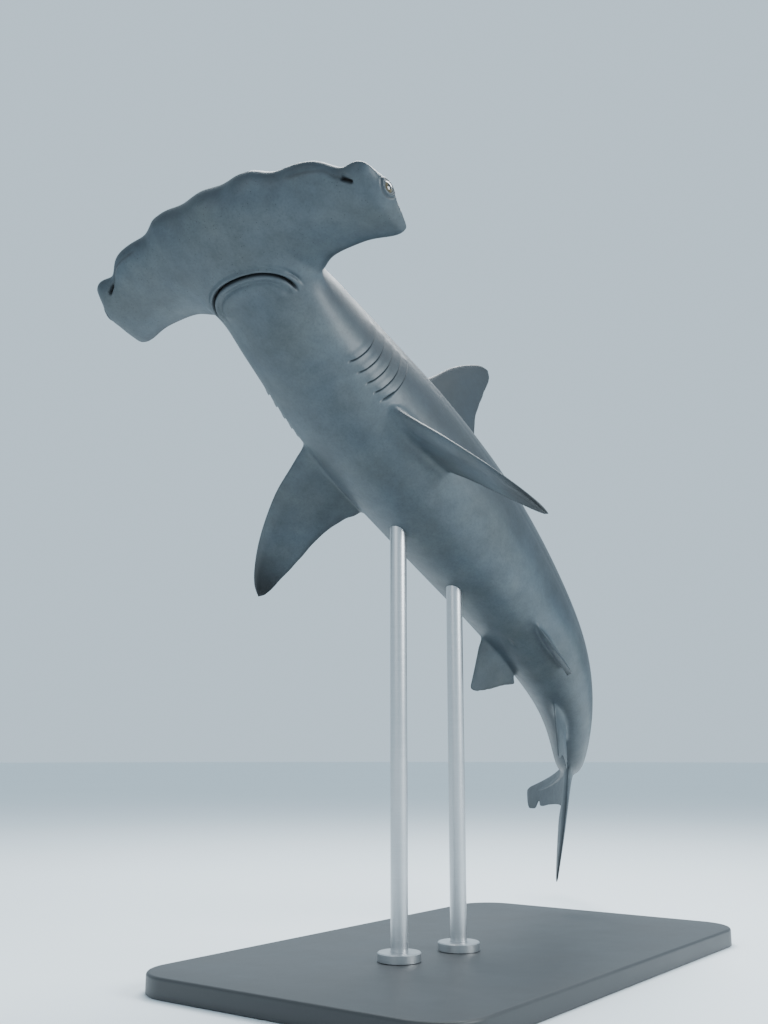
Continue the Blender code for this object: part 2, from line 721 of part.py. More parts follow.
def ring_loop(name, collection, rings):
    """Closed loop of rings, such as a lid around an eye."""
    mesh = bmesh.new()
    rows = [[mesh.verts.new(point) for point in ring] for ring in rings]
    count = len(rows[0])
    for i, a in enumerate(rows):
        b = rows[(i + 1) % len(rows)]
        for k in range(count):
            m = (k + 1) % count
            mesh.faces.new((a[k], a[m], b[m], b[k]))
    bmesh.ops.triangulate(mesh, faces=mesh.faces[:])
    bmesh.ops.recalc_face_normals(mesh, faces=mesh.faces)
    thing = new_object(name, collection)
    mesh.to_mesh(thing.data)
    mesh.free()
    pose_mesh(thing.data)
    return thing


def gill_parts(joins, cuts, side):
    """Flaps of the gill slits on one flank, each lying over the slit behind it."""
    for station in GILL_STATIONS:
        flap = []
        slit = []
        for t in np.linspace(0, 1, GILL_STEPS):
            angle = math.radians(GILL_LOW + (GILL_HIGH - GILL_LOW) * t)
            if side < 0:
                angle = math.pi - angle
            s = station + GILL_BOW * math.sin(math.pi * t) + GILL_SLANT * t
            swell = math.sin(math.pi * (0.08 + 0.84 * t))
            edge, normal = section(s, angle)
            front, front_normal = section(s - FLAP_LENGTH, angle)
            along = (edge - front) / np.linalg.norm(edge - front)
            flap.append([front - front_normal * FLAP_ROOT_DEPTH, edge + normal * FLAP_LIFT * swell,
                         edge + along * SLIT_START - normal * FLAP_DEPTH])
            mouth = edge + along * SLIT_START + normal * SLIT_REACH
            slit.append([mouth, mouth + along * SLIT_WIDTH * swell,
                         edge - along * SLIT_UNDERCUT - normal * SLIT_DEPTH * swell])
        loft("flap", joins, flap)
        loft("slit", cuts, slit)


def fin_blade(name, collection, root, span, back, lead, trail, thickness, places, curve=0.0, twist=0.0):
    """Fin whose sections run from its sunk root to its tip.

    lead and trail are curves (places along the span, offsets back from the root) of its two edges.
    """
    normal = np.cross(back, span)
    normal = normal / np.linalg.norm(normal)
    rings = []
    for v in places:
        out = max(v, 0.0)
        start = float(through(out, *lead)) * TOTAL_LENGTH
        end = float(through(out, *trail)) * TOTAL_LENGTH
        half = max(thickness * TOTAL_LENGTH * 0.5 * (1 - FIN_TAPER * out), FIN_TIP_HALF)
        half *= 1 + ROOT_FLARE * math.exp(-out / ROOT_FLARE_REACH)
        middle = (root + span * v + normal * curve * out * out) * TOTAL_LENGTH
        turn = math.radians(twist) * float(ease(out / TWIST_REACH))
        across = back * math.cos(turn) + normal * math.sin(turn)
        face = normal * math.cos(turn) - back * math.sin(turn)
        top = [middle + across * start]
        low = []
        for place, share in zip(FIN_CHORD, FIN_PROFILE):
            along = middle + across * (start + (end - start) * place)
            rise = face * max(half * share, FIN_EDGE_HALF)
            top.append(along + rise)
            low.append(along - rise)
        rings.append(top + low[::-1])
    return loft(name, collection, rings)


def side_span(side, droop, height):
    """Span of a paired fin that slants down from the flank."""
    droop = math.radians(droop)
    return np.array([0.0, side * math.cos(droop), -math.sin(droop)]) * height


def trunk_place(s, across, up):
    """Point inside the trunk, as shares of its half width and of its back height or belly depth."""
    height = through(s, STATIONS, BACK if up > 0 else BELLY)
    width = through(s, STATIONS, HALF_WIDTH)
    return np.array([-s, across * float(width), up * float(height)])


def pectoral_fin(collection, side, label):
    """Broad sickle-shaped fin low on the flank."""
    droop, swing = PECTORAL_SET[label]
    span = side_span(side, droop, PECTORAL_HEIGHT)
    swing = math.radians(swing)
    unit = span / PECTORAL_HEIGHT
    back = BACKWARD * math.cos(swing) - unit * math.sin(swing)
    span = (unit * math.cos(swing) + BACKWARD * math.sin(swing)) * PECTORAL_HEIGHT
    across, up = PECTORAL_ROOT
    root = trunk_place(PECTORAL_STATION, side * across, up)
    return fin_blade("pectoral_fin_" + label, collection, root, span, back, PECTORAL_LEAD, PECTORAL_TRAIL,
                     PECTORAL_THICKNESS, FIN_PLACES, -PECTORAL_CURVE * side)


def pelvic_fin(collection, side, label):
    """Small fin beside the vent."""
    across, up = PELVIC_ROOT
    root = trunk_place(PELVIC_STATION, side * across, up)
    span = side_span(side, PELVIC_DROOP, PELVIC_HEIGHT)
    return fin_blade("pelvic_fin_" + label, collection, root, span, BACKWARD, PELVIC_LEAD, PELVIC_TRAIL,
                     PELVIC_THICKNESS, FIN_PLACES)


def first_dorsal_fin(collection):
    """Tall fin above the pectorals, leaning a little to the left."""
    lean = math.radians(DORSAL_LEAN)
    span = np.array([0.0, math.sin(lean), math.cos(lean)]) * DORSAL_HEIGHT
    root = trunk_place(DORSAL_STATION, 0.0, DORSAL_ROOT)
    return fin_blade("first_dorsal_fin", collection, root, span, BACKWARD, DORSAL_LEAD, DORSAL_TRAIL,
                     DORSAL_THICKNESS, FIN_PLACES)


def second_dorsal_fin(collection):
    """Low fin before the tail with a long free rear tip."""
    root = trunk_place(SECOND_DORSAL_STATION, 0.0, SECOND_DORSAL_ROOT)
    span = np.array([0.0, 0.0, SECOND_DORSAL_HEIGHT])
    return fin_blade("second_dorsal_fin", collection, root, span, BACKWARD, SECOND_DORSAL_LEAD,
                     SECOND_DORSAL_TRAIL, SECOND_DORSAL_THICKNESS, FIN_PLACES)


def anal_fin(collection):
    """Fin under the tail, longer than the second dorsal and deeply notched behind."""
    root = trunk_place(ANAL_STATION, 0.0, ANAL_ROOT)
    span = np.array([0.0, 0.0, -ANAL_HEIGHT])
    return fin_blade("anal_fin", collection, root, span, BACKWARD, ANAL_LEAD, ANAL_TRAIL,
                     ANAL_THICKNESS, FIN_PLACES)


def caudal_blades(collection):
    """Upper lobe with its notch below the tip, and the shorter lower lobe."""
    upper = math.radians(UPPER_ANGLE)
    lower = math.radians(LOWER_ANGLE)
    span = np.array([-math.cos(upper), 0.0, math.sin(upper)]) * UPPER_LENGTH
    back = np.array([-math.sin(upper), 0.0, -math.cos(upper)])
    fin_blade("upper_lobe", collection, np.array(UPPER_ROOT), span, back, UPPER_LEAD, UPPER_TRAIL,
              UPPER_THICKNESS, UPPER_PLACES)
    span = np.array([-math.cos(lower), 0.0, -math.sin(lower)]) * LOWER_LENGTH
    back = np.array([-math.sin(lower), 0.0, math.cos(lower)])
    fin_blade("lower_lobe", collection, np.array(LOWER_ROOT), span, back, LOWER_LEAD, LOWER_TRAIL,
              LOWER_THICKNESS, LOWER_PLACES, LOWER_CURVE, LOWER_TWIST)


def stand_parts(grown_skin, parts):
    """Flat plate and two rods in collars that end under the belly."""
    work = bmesh.new()
    bmesh.ops.create_cube(work, size=1.0)
    for vertex in work.verts:
        vertex.co.x *= BASE_WIDTH
        vertex.co.y *= BASE_LENGTH
        vertex.co.z = (vertex.co.z + 0.5) * BASE_THICKNESS
    upright = [e for e in work.edges if abs(e.verts[0].co.z - e.verts[1].co.z) > BASE_THICKNESS / 2]
    bmesh.ops.bevel(work, geom=upright, offset=BASE_CORNER, segments=6, affect="EDGES", profile=0.5)
    rim = [e for e in work.edges if all(v.co.z > BASE_THICKNESS - 1e-5 for v in e.verts)]
    bmesh.ops.bevel(work, geom=rim, offset=BASE_RIM, segments=2, affect="EDGES", profile=0.5)
    base = new_object("stand_base", parts)
    work.to_mesh(base.data)
    work.free()
    foot = BASE_THICKNESS + GAP
    for label, station in ROD_STATIONS.items():
        x, y, height = posed([straight(station, 0.0, 0.0)])[0]
        rod = cylinder("stand_rod_" + label, parts, x, y, foot, height, ROD_RADIUS)
        cutter = bpy.data.collections.new("rod_cut")
        copy = bpy.data.objects.new("skin", grown_skin.data.copy())
        cutter.objects.link(copy)
        boolean(rod, "DIFFERENCE", cutter)
        collar = cylinder("stand_collar_" + label, parts, x, y, foot, foot + COLLAR_HEIGHT, COLLAR_RADIUS)
        cutter = bpy.data.collections.new("collar_bore")
        cylinder("bore", cutter, x, y, 0.0, foot + 2 * COLLAR_HEIGHT, ROD_RADIUS + GAP)
        boolean(collar, "DIFFERENCE", cutter)


def cylinder(name, collection, x, y, low, high, radius):
    """Upright round rod between two heights."""
    work = bmesh.new()
    bmesh.ops.create_cone(work, cap_ends=True, segments=ROD_SIDES, radius1=radius, radius2=radius,
                          depth=high - low)
    bmesh.ops.translate(work, verts=work.verts, vec=(x, y, (low + high) / 2))
    thing = new_object(name, collection)
    work.to_mesh(thing.data)
    work.free()
    return thing


def material(name, colour, roughness, metallic=0.0):
    """Plain finish of one kind of part."""
    finish = bpy.data.materials.new(name)
    finish.use_nodes = True
    shader = finish.node_tree.nodes["Principled BSDF"]
    shader.inputs["Base Color"].default_value = (*colour, 1.0)
    shader.inputs["Roughness"].default_value = roughness
    shader.inputs["Metallic"].default_value = metallic
    return finish


def build():
    """Model the whole shark on its stand."""
    for thing in list(bpy.data.objects):
        bpy.data.objects.remove(thing)
    parts = bpy.data.collections.new("scalloped_hammerhead")
    bpy.context.scene.collection.children.link(parts)
    scratch = bpy.data.collections.new("scratch")
    bpy.context.scene.collection.children.link(scratch)

    flat = smooth_body(scratch, "flat_body", LEVELS, bent=False)
    work = bmesh.new()
    work.from_mesh(flat.data)
    skin = BVHTree.FromBMesh(work)
    work.free()
    body = smooth_body(scratch, "body", LEVELS, bent=True)
    grown = grown_copy(body, scratch, SKIN_OFFSET)

    head = slice_body(body, "head", parts, None, HEAD_CUT)
    trunk = slice_body(body, "trunk", parts, HEAD_CUT, TAIL_CUT)
    slice_body(body, "tail", parts, TAIL_CUT, CAUDAL_CUT)
    caudal = slice_body(body, "caudal_fin", parts, CAUDAL_CUT, None)

    joins = bpy.data.collections.new("head_joins")
    cuts = bpy.data.collections.new("head_cuts")
    mouth_parts(skin, joins, cuts)
    for side, label in ((1, "left"), (-1, "right")):
        nostril_parts(skin, cuts, side)
        eye_parts(joins, cuts, parts, side, label)
    boolean(head, "UNION", joins)
    boolean(head, "DIFFERENCE", cuts)

    joins = bpy.data.collections.new("trunk_joins")
    cuts = bpy.data.collections.new("trunk_cuts")
    for side in (1, -1):
        gill_parts(joins, cuts, side)
    boolean(trunk, "UNION", joins)
    boolean(trunk, "DIFFERENCE", cuts)

    joins = bpy.data.collections.new("caudal_joins")
    caudal_blades(joins)
    boolean(caudal, "UNION", joins)
    cuts = bpy.data.collections.new("caudal_cuts")
    behind_tail(cuts)
    boolean(caudal, "INTERSECT", cuts)

    fins = [first_dorsal_fin(parts), second_dorsal_fin(parts), anal_fin(parts)]
    for side, label in ((1, "left"), (-1, "right")):
        fins.append(pectoral_fin(parts, side, label))
        fins.append(pelvic_fin(parts, side, label))
    for fin in fins:
        cuts = bpy.data.collections.new("fin_cut")
        copy = bpy.data.objects.new("skin", grown.data.copy())
        cuts.objects.link(copy)
        boolean(fin, "DIFFERENCE", cuts)

    stand_parts(grown, parts)

    hide = material("hide", (0.050, 0.065, 0.076), 0.5)
    eye = material("eye", (0.04, 0.03, 0.02), 0.1)
    plate = material("plate", (0.03, 0.03, 0.033), 0.45)
    steel = material("steel", (0.55, 0.55, 0.56), 0.3, 1.0)
    for thing in parts.objects:
        finish = hide
        if thing.name.startswith("eye_"):
            finish = eye
        elif thing.name == "stand_base":
            finish = plate
        elif thing.name.startswith("stand_"):
            finish = steel
        thing.data.materials.clear()
        thing.data.materials.append(finish)
        if not thing.name.startswith("stand_base"):
            thing.data.shade_smooth()
            thing.data.set_sharp_from_angle(angle=math.radians(35))
    for thing in list(scratch.objects):
        bpy.data.objects.remove(thing)


def behind_tail(collection):
    """Block that holds everything behind the cut before the tail fin."""
    middle = posed([straight(CAUDAL_CUT, 0, 0)])[0]
    near = posed([straight(CAUDAL_CUT - SMALL_STEP, 0, 0)])[0]
    back = Vector(middle - near).normalized()
    size = 1.6
    work = bmesh.new()
    bmesh.ops.create_cube(work, size=size)
    turn = back.to_track_quat("Z", "Y").to_matrix().to_4x4()
    bmesh.ops.transform(work, matrix=turn, verts=work.verts)
    bmesh.ops.translate(work, verts=work.verts, vec=Vector(middle) + back * (size / 2 + GAP / 2))
    thing = new_object("behind", collection)
    work.to_mesh(thing.data)
    work.free()


build()
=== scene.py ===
"""Looks of the life-size scalloped hammerhead shark on its stand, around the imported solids.

The skin is laid out straight (nose at the origin, x ahead, y left, z up, metres) and gets its
folds, fins and markings there. It is then bent along the spine and set at its climb and bank.
"""
import json
import math

import bpy
import bmesh
import numpy as np
from mathutils import Matrix, Vector
from mathutils.bvhtree import BVHTree
from mathutils.kdtree import KDTree

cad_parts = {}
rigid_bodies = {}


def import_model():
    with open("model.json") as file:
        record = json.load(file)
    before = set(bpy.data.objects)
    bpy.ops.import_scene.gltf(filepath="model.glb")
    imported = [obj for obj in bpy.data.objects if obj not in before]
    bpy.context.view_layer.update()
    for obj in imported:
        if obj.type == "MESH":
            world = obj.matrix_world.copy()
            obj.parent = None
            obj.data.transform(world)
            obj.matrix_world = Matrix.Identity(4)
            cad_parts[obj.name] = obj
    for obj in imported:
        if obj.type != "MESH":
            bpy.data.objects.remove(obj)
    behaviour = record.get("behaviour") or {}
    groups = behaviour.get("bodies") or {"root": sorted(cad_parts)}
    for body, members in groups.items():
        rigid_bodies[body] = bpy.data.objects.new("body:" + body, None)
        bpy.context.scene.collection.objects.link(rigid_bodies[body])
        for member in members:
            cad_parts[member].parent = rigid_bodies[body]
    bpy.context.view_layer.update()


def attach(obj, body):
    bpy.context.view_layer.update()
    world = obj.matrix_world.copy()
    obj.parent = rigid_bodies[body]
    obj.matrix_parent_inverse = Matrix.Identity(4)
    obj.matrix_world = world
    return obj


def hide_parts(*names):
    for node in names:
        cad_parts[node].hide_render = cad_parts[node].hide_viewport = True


for leftover in list(bpy.data.objects):
    bpy.data.objects.remove(leftover)
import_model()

# Driving sizes in metres
TOTAL_LENGTH = 2.50
GAP = 0.0003
SKIN_OFFSET = 1.15 * GAP

# Pose of the whole animal: nose in the world, climb and bank in degrees (left side high)
NOSE = (-0.047, -0.849, 1.490)
CLIMB = 31.9
BANK = 9.6

# Bends of the spine: start and length as fractions of the total length,
# then the turn to the right and the droop in degrees
BENDS = (
    (0.100, 0.180, -7.8, 0.0),
    (0.280, 0.250, 7.0, 0.0),
    (0.508, 0.242, 26.7, 0.0),
    (0.720, 0.260, 19.5, 0.0),
    (0.120, 0.250, 0.0, 3.5),
    (0.400, 0.320, 0.0, 8.8),
)

# All lengths from here to the stand are fractions of the total length
HEAD_HALF = 0.1405
NECK_STATION = 0.1033
NECK_HALF = 0.0488

# Trunk: stations behind the nose, half width, back height and belly depth
STATIONS = (0.09, 0.1033, 0.13, 0.20, 0.28, 0.36, 0.46, 0.56, 0.64, 0.70, 0.74, 0.80, 0.88, 0.97)
HALF_WIDTH = (0.0480, 0.0482, 0.0482, 0.0536, 0.0565, 0.0553, 0.0490, 0.0398, 0.0282, 0.0196,
              0.0136, 0.0068, 0.0036, 0.0010)
BACK = (0.0350, 0.0420, 0.0520, 0.0630, 0.0685, 0.0670, 0.0590, 0.0445, 0.0310, 0.0215,
        0.0155, 0.0078, 0.0040, 0.0010)
BELLY = (0.0330, 0.0370, 0.0425, 0.0540, 0.0620, 0.0610, 0.0540, 0.0430, 0.0305, 0.0210,
         0.0150, 0.0070, 0.0036, 0.0010)
RING_STATIONS = (0.124, 0.148, 0.172, 0.196, 0.222, 0.25, 0.28, 0.312, 0.346, 0.38, 0.42, 0.46,
                 0.50, 0.54, 0.58, 0.62, 0.652, 0.682, 0.708, 0.732, 0.762, 0.80, 0.85,
                 0.90, 0.94)
RING = 16
# A smoothed ring lies this much inside its cage
RING_SHRINK = (2 + math.cos(2 * math.pi / RING)) / 3
# How far the trunk's section leans from an oval towards a square
SQUARENESS = 0.045
# Where the spine's core starts to rise into the tail fin, and the start and length of the easing
TAIL_SLOPE_START = 0.715
TAIL_SLOPE_EASE = (0.70, 0.08)

# Head: columns across each wing as fractions of the half width, rows along the chord
WING_COLUMNS = (0.40, 0.46, 0.54, 0.63, 0.72, 0.80, 0.87, 0.94, 1.0)
CHORD_ROWS = (0.0, 0.06, 0.18, 0.34, 0.52, 0.70, 0.87, 1.0)
# Scalloped front margin: places across the half width, and how far each lies behind the nose
FRONT_PLACES = (0.0, 0.135, 0.21, 0.28, 0.35, 0.45, 0.53, 0.63, 0.72, 0.80, 0.87, 0.94, 1.0)
FRONT_MARGIN = (0.0, 0.0030, 0.0012, 0.0013, 0.0036, 0.0110, 0.0117, 0.0136, 0.0182, 0.0282,
                0.0286, 0.0300, 0.0370)
REAR_PLACES = (0.352, 0.39, 0.43, 0.52, 0.72, 0.80, 0.90, 0.96, 1.0)
REAR_MARGIN = (0.1033, 0.0985, 0.0928, 0.0893, 0.0893, 0.0915, 0.0948, 0.0945, 0.0900)
# How much the wing's end is rounded, seen from above
TIP_ROUNDING = 0.035
# Half thickness across the head, and its share along the chord on the wings and before the neck
THICKNESS_PLACES = (0.0, 0.35, 0.70, 0.90, 1.0)
HALF_THICKNESS = (0.0285, 0.0225, 0.0150, 0.0128, 0.0118)
WING_PROFILE = (0.0, 0.52, 0.82, 1.0, 0.99, 0.83, 0.50, 0.0)
NECK_PROFILE = (0.0, 0.55, 0.83, 0.97, 1.0, 1.0, 1.0, 1.0)
UNDERSIDE_FLATNESS = 0.92
# How late along the chord the head's thickness turns into the neck's
NECK_BLEND = 2.4
# The smoothing draws the outer edges in, so the cage reaches out by this share of its first row
EDGE_OVERSHOOT = 0.4
# How much lower the wing's middle surface lies at its end
WING_DROOP = 0.004

# Eyes and mouth
EYE_RADIUS = 0.0078
EYE_INSET = 0.0086
EYE_STATION = 0.057
EYE_DROP = 0.0035
# The eyeball's height over its width, and how far its gaze turns ahead and up
EYE_HEIGHT = 0.94
GAZE_AHEAD = 0.10
GAZE_UP = 0.02
# Lid, as shares of the eye's radius: ring, how far out it sits, its height over its width, thickness
LID_RING = 0.80
LID_OUT = 0.62
LID_HEIGHT = 0.88
LID_THICKNESS = 0.20
MOUTH_FRONT = 0.063
MOUTH_HALF = 0.037
MOUTH_DEPTH = 0.030

# Nostrils and the grooves that lead to them, across the half width
NOSTRIL_PLACES = (0.795, 0.815, 0.835, 0.855)
NOSTRIL_INSET = 0.0045
NOSTRIL_SLANT = 0.10
GROOVE_START = 0.50
GROOVE_INSET = 0.0042

# Gill slits: stations along the flank, and how far they reach below and above the side line
GILL_STATIONS = (0.1660, 0.1785, 0.1905, 0.2015, 0.2115)
GILL_LOW = -38.0
GILL_HIGH = 24.0
GILL_BOW = 0.004
GILL_SLANT = 0.006

# Fin sections: shares of the chord behind the front edge, and of the half thickness there
FIN_CHORD = (0.05, 0.22, 0.55, 1.0)
FIN_PROFILE = (0.55, 1.0, 0.72, 0.0)
FIN_TAPER = 0.80
ROOT_FLARE = 0.6
ROOT_FLARE_REACH = 0.05
# Half thickness of a fin's rear edge and near its tip, in metres
FIN_EDGE_HALF = 0.0004
FIN_TIP_HALF = 0.0016
BACKWARD = np.array([-1.0, 0.0, 0.0])

# Each fin's front and rear edges: places along its span, and offsets back from its origin
PECTORAL_STATION = 0.2177
PECTORAL_ROOT = (0.80, -0.55)
PECTORAL_HEIGHT = 0.134
PECTORAL_THICKNESS = 0.0125
PECTORAL_CURVE = 0.006
PECTORAL_LEAD = ((0, 0.19, 0.37, 0.53, 0.72, 0.86, 0.93, 0.985, 1.0),
                 (0.002, 0.0120, 0.0210, 0.0325, 0.0495, 0.0660, 0.0765, 0.0878, 0.0930))
PECTORAL_TRAIL = ((0, 0.06, 0.12, 0.18, 0.35, 0.60, 0.77, 0.925, 1.0),
                  (0.062, 0.0930, 0.0885, 0.0845, 0.0830, 0.0888, 0.0933, 0.0972, 0.0968))
# Slant below level and swing towards the tail, in degrees
PECTORAL_SET = {"right": (29.0, 0.0), "left": (38.0, 13.0)}

PELVIC_STATION = 0.4844
PELVIC_ROOT = (0.55, -0.75)
PELVIC_HEIGHT = 0.045
PELVIC_THICKNESS = 0.0075
PELVIC_DROOP = 55.0
PELVIC_LEAD = ((0, 1.0), (0, 0.039))
PELVIC_TRAIL = ((0, 0.07, 0.14, 0.28, 0.65, 0.92, 1.0),
                (0.0690, 0.0800, 0.0785, 0.0725, 0.0600, 0.0490, 0.0440))

DORSAL_STATION = 0.2516
DORSAL_ROOT = 0.96
DORSAL_THICKNESS = 0.0125
DORSAL_HEIGHT = 0.1175
DORSAL_LEAN = 12.0
DORSAL_LEAD = ((0, 0.18, 0.37, 0.64, 0.87, 0.97, 1.0),
               (0, 0.020, 0.0375, 0.0535, 0.0730, 0.0850, 0.0925))
DORSAL_TRAIL = ((0, 0.08, 0.16, 0.36, 0.55, 0.78, 0.90, 0.97, 1.0),
                (0.095, 0.131, 0.129, 0.1125, 0.1035, 0.1012, 0.1005, 0.0985, 0.0960))

SECOND_DORSAL_STATION = 0.6250
SECOND_DORSAL_ROOT = 0.90
SECOND_DORSAL_HEIGHT = 0.029
SECOND_DORSAL_THICKNESS = 0.0060
SECOND_DORSAL_LEAD = ((0, 1.0), (0, 0.022))
SECOND_DORSAL_TRAIL = ((0, 0.22, 0.34, 0.60, 1.0), (0.030, 0.074, 0.070, 0.046, 0.027))
ANAL_STATION = 0.6000
ANAL_ROOT = -0.90
ANAL_HEIGHT = 0.040
ANAL_THICKNESS = 0.0065
ANAL_LEAD = ((0, 1.0), (0, 0.040))
ANAL_TRAIL = ((0, 0.18, 0.30, 0.60, 1.0), (0.062, 0.094, 0.088, 0.058, 0.047))

# Caudal fin: each lobe's angle from the spine, length and edges
UPPER_ROOT = (-0.722, 0.0, 0.012)
UPPER_ANGLE = 32.9
UPPER_LENGTH = 0.3034
UPPER_THICKNESS = 0.0110
UPPER_LEAD = ((0, 0.4, 1.0), (-0.012, -0.010, -0.005))
UPPER_TRAIL = ((0, 0.15, 0.35, 0.60, 0.75, 0.785, 0.815, 0.90, 1.0),
               (0.050, 0.060, 0.042, 0.031, 0.027, 0.019, 0.028, 0.026, 0.004))
LOWER_ROOT = (-0.722, 0.0, -0.008)
LOWER_ANGLE = 56.5
LOWER_LENGTH = 0.1219
LOWER_THICKNESS = 0.0090
# How far the lower lobe bends aside at its tip, and its twist in degrees within this share of it
LOWER_CURVE = 0.0032
LOWER_TWIST = 8.0
TWIST_REACH = 0.5
LOWER_LEAD = ((0, 0.5, 1.0), (-0.008, -0.005, 0.004))
LOWER_TRAIL = ((0, 0.35, 0.70, 0.93, 1.0), (0.075, 0.046, 0.030, 0.016, 0.009))

# Stand, in metres
BASE_LENGTH = 1.30
BASE_WIDTH = 0.76
BASE_THICKNESS = 0.040
BASE_CORNER = 0.10
BASE_RIM = 0.006
ROD_RADIUS = 0.018
COLLAR_RADIUS = 0.045
COLLAR_HEIGHT = 0.018
ROD_STATIONS = {"front": 0.285, "rear": 0.372}


def ease(t):
    """Smooth step from 0 to 1."""
    t = np.clip(t, 0.0, 1.0)
    return t * t * (3 - 2 * t)


def through(x, places, values):
    """Smooth curve through a few stations that never overshoots them."""
    places = np.asarray(places, float)
    values = np.asarray(values, float)
    step = np.diff(places)
    rise = np.diff(values) / step
    slope = np.zeros(len(places))
    slope[0] = rise[0]
    slope[-1] = rise[-1]
    for i in range(1, len(places) - 1):
        if rise[i - 1] * rise[i] > 0:
            near = 2 * step[i] + step[i - 1]
            far = step[i] + 2 * step[i - 1]
            slope[i] = (near + far) / (near / rise[i - 1] + far / rise[i])
    x = np.clip(x, places[0], places[-1])
    k = np.clip(np.searchsorted(places, x, side="right") - 1, 0, len(step) - 1)
    t = (x - places[k]) / step[k]
    start = (1 + 2 * t) * (1 - t) ** 2 * values[k] + t * (1 - t) ** 2 * step[k] * slope[k]
    end = t * t * (3 - 2 * t) * values[k + 1] + t * t * (t - 1) * step[k] * slope[k + 1]
    return start + end


def spine_angles(s):
    """Heading to the right and droop, in radians, at station s."""
    turn = np.zeros_like(s)
    droop = np.zeros_like(s)
    for start, length, right, down in BENDS:
        part = ease((s - start) / length)
        turn = turn + math.radians(right) * part
        droop = droop + math.radians(down) * part
    return turn, droop


def forward(turn, droop):
    """Unit vectors along the spine towards the nose."""
    return np.stack([np.cos(turn) * np.cos(droop), np.sin(turn) * np.cos(droop), np.sin(droop)], 1)


SPINE = np.linspace(-0.06, 1.12, 1181)
SPINE_FORWARD = forward(*spine_angles(SPINE))
SPINE_STEPS = (SPINE_FORWARD[1:] + SPINE_FORWARD[:-1]) / 2 * np.diff(SPINE)[:, None]
SPINE_PATH = -np.vstack([np.zeros(3), np.cumsum(SPINE_STEPS, axis=0)])
SPINE_PATH = SPINE_PATH - [np.interp(0.0, SPINE, SPINE_PATH[:, k]) for k in range(3)]


def world_axes():
    """Columns: the animal's forward, left and up in the world."""
    climb = math.radians(CLIMB)
    bank = math.radians(BANK)
    ahead = np.array([0.0, -math.cos(climb), math.sin(climb)])
    level_left = np.array([1.0, 0.0, 0.0])
    level_up = np.cross(ahead, level_left)
    left = level_left * math.cos(bank) + level_up * math.sin(bank)
    up = level_up * math.cos(bank) - level_left * math.sin(bank)
    return np.stack([ahead, left, up], 1)


AXES = world_axes()


def posed(points):
    """Straight-body points (x ahead, y left, z up, metres) bent along the spine, in the world."""
    points = np.asarray(points, float) / TOTAL_LENGTH
    s = -points[:, 0]
    turn, droop = spine_angles(s)
    centre = np.stack([np.interp(s, SPINE, SPINE_PATH[:, k]) for k in range(3)], 1)
    left = np.stack([-np.sin(turn), np.cos(turn), 0 * turn], 1)
    up = np.stack([-np.sin(droop) * np.cos(turn), -np.sin(droop) * np.sin(turn), np.cos(droop)], 1)
    bent = centre + points[:, 1:2] * left + points[:, 2:3] * up
    return bent @ AXES.T * TOTAL_LENGTH + np.array(NOSE)


def straight(s, y, z):
    """Straight-body point in metres from fractions of the length."""
    return np.array([-s, y, z]) * TOTAL_LENGTH


def section(s, angle):
    """Point of the trunk's outline at station s and angle from the left side."""
    width = float(through(s, STATIONS, HALF_WIDTH))
    height = float(through(s, STATIONS, BACK if math.sin(angle) > 0 else BELLY))
    square = 1 + SQUARENESS * math.sin(2 * angle) ** 2
    y = width * math.cos(angle) * square
    z = height * math.sin(angle) * square + tail_rise(s)
    return straight(s, y, z)


def tail_rise(s):
    """Height of the spine's core above the straight axis, where it turns up into the tail fin."""
    start, length = TAIL_SLOPE_EASE
    slope = math.tan(math.radians(UPPER_ANGLE))
    return np.maximum(s - TAIL_SLOPE_START, 0.0) * slope * ease((s - start) / length)


def front_margin(u):
    """Station of the head's front margin at a fraction u of the half width."""
    return float(through(abs(u), FRONT_PLACES, FRONT_MARGIN))


def rear_margin(u):
    """Station of the wing's rear margin."""
    return float(through(abs(u), REAR_PLACES, REAR_MARGIN))


def overshoot(margin, columns, i):
    """Margin at a column, pushed away from its neighbours as far as the smoothing pulls it back."""
    u = columns[i]
    if i == 0 or i == len(columns) - 1:
        return margin(u)
    return margin(u) + (2 * margin(u) - margin(columns[i - 1]) - margin(columns[i + 1])) / 4


def wing_thickness(u):
    """Half thickness of the head across its width."""
    return float(through(abs(u), THICKNESS_PLACES, HALF_THICKNESS))


def head_point(u, v, side, ring_angle, front, rear):
    """Cage point of the head at column u and row v; side is 1 on top and -1 below.

    Columns that run on into the neck have an angle on its ring, and the others have none.
    """
    wing_half = wing_thickness(u)
    depth = rear - front
    s = front + depth * v
    if v == 0:
        s -= depth * EDGE_OVERSHOOT * CHORD_ROWS[1]
    if v == 1 and ring_angle is None:
        s += depth * EDGE_OVERSHOOT * (1 - CHORD_ROWS[-2])
    y = u * HEAD_HALF * (1 - TIP_ROUNDING * (2 * v - 1) ** 2 * abs(u) ** 6)
    z = wing_half * float(through(v, CHORD_ROWS, WING_PROFILE))
    if ring_angle is not None and 0 < ring_angle < math.pi:
        edge = wing_half * float(through(v, CHORD_ROWS, NECK_PROFILE))
        height = float(through(NECK_STATION, STATIONS, BACK if side > 0 else BELLY))
        ring = height * math.sin(ring_angle) / RING_SHRINK
        blend = v ** NECK_BLEND
        z = edge * (1 - blend) + ring * blend
    elif side < 0:
        z *= UNDERSIDE_FLATNESS
    return straight(s, y, side * z + wing_droop(u))


def wing_droop(u):
    """Height of the wing's middle surface, a little lower towards its end."""
    return -WING_DROOP * u * u


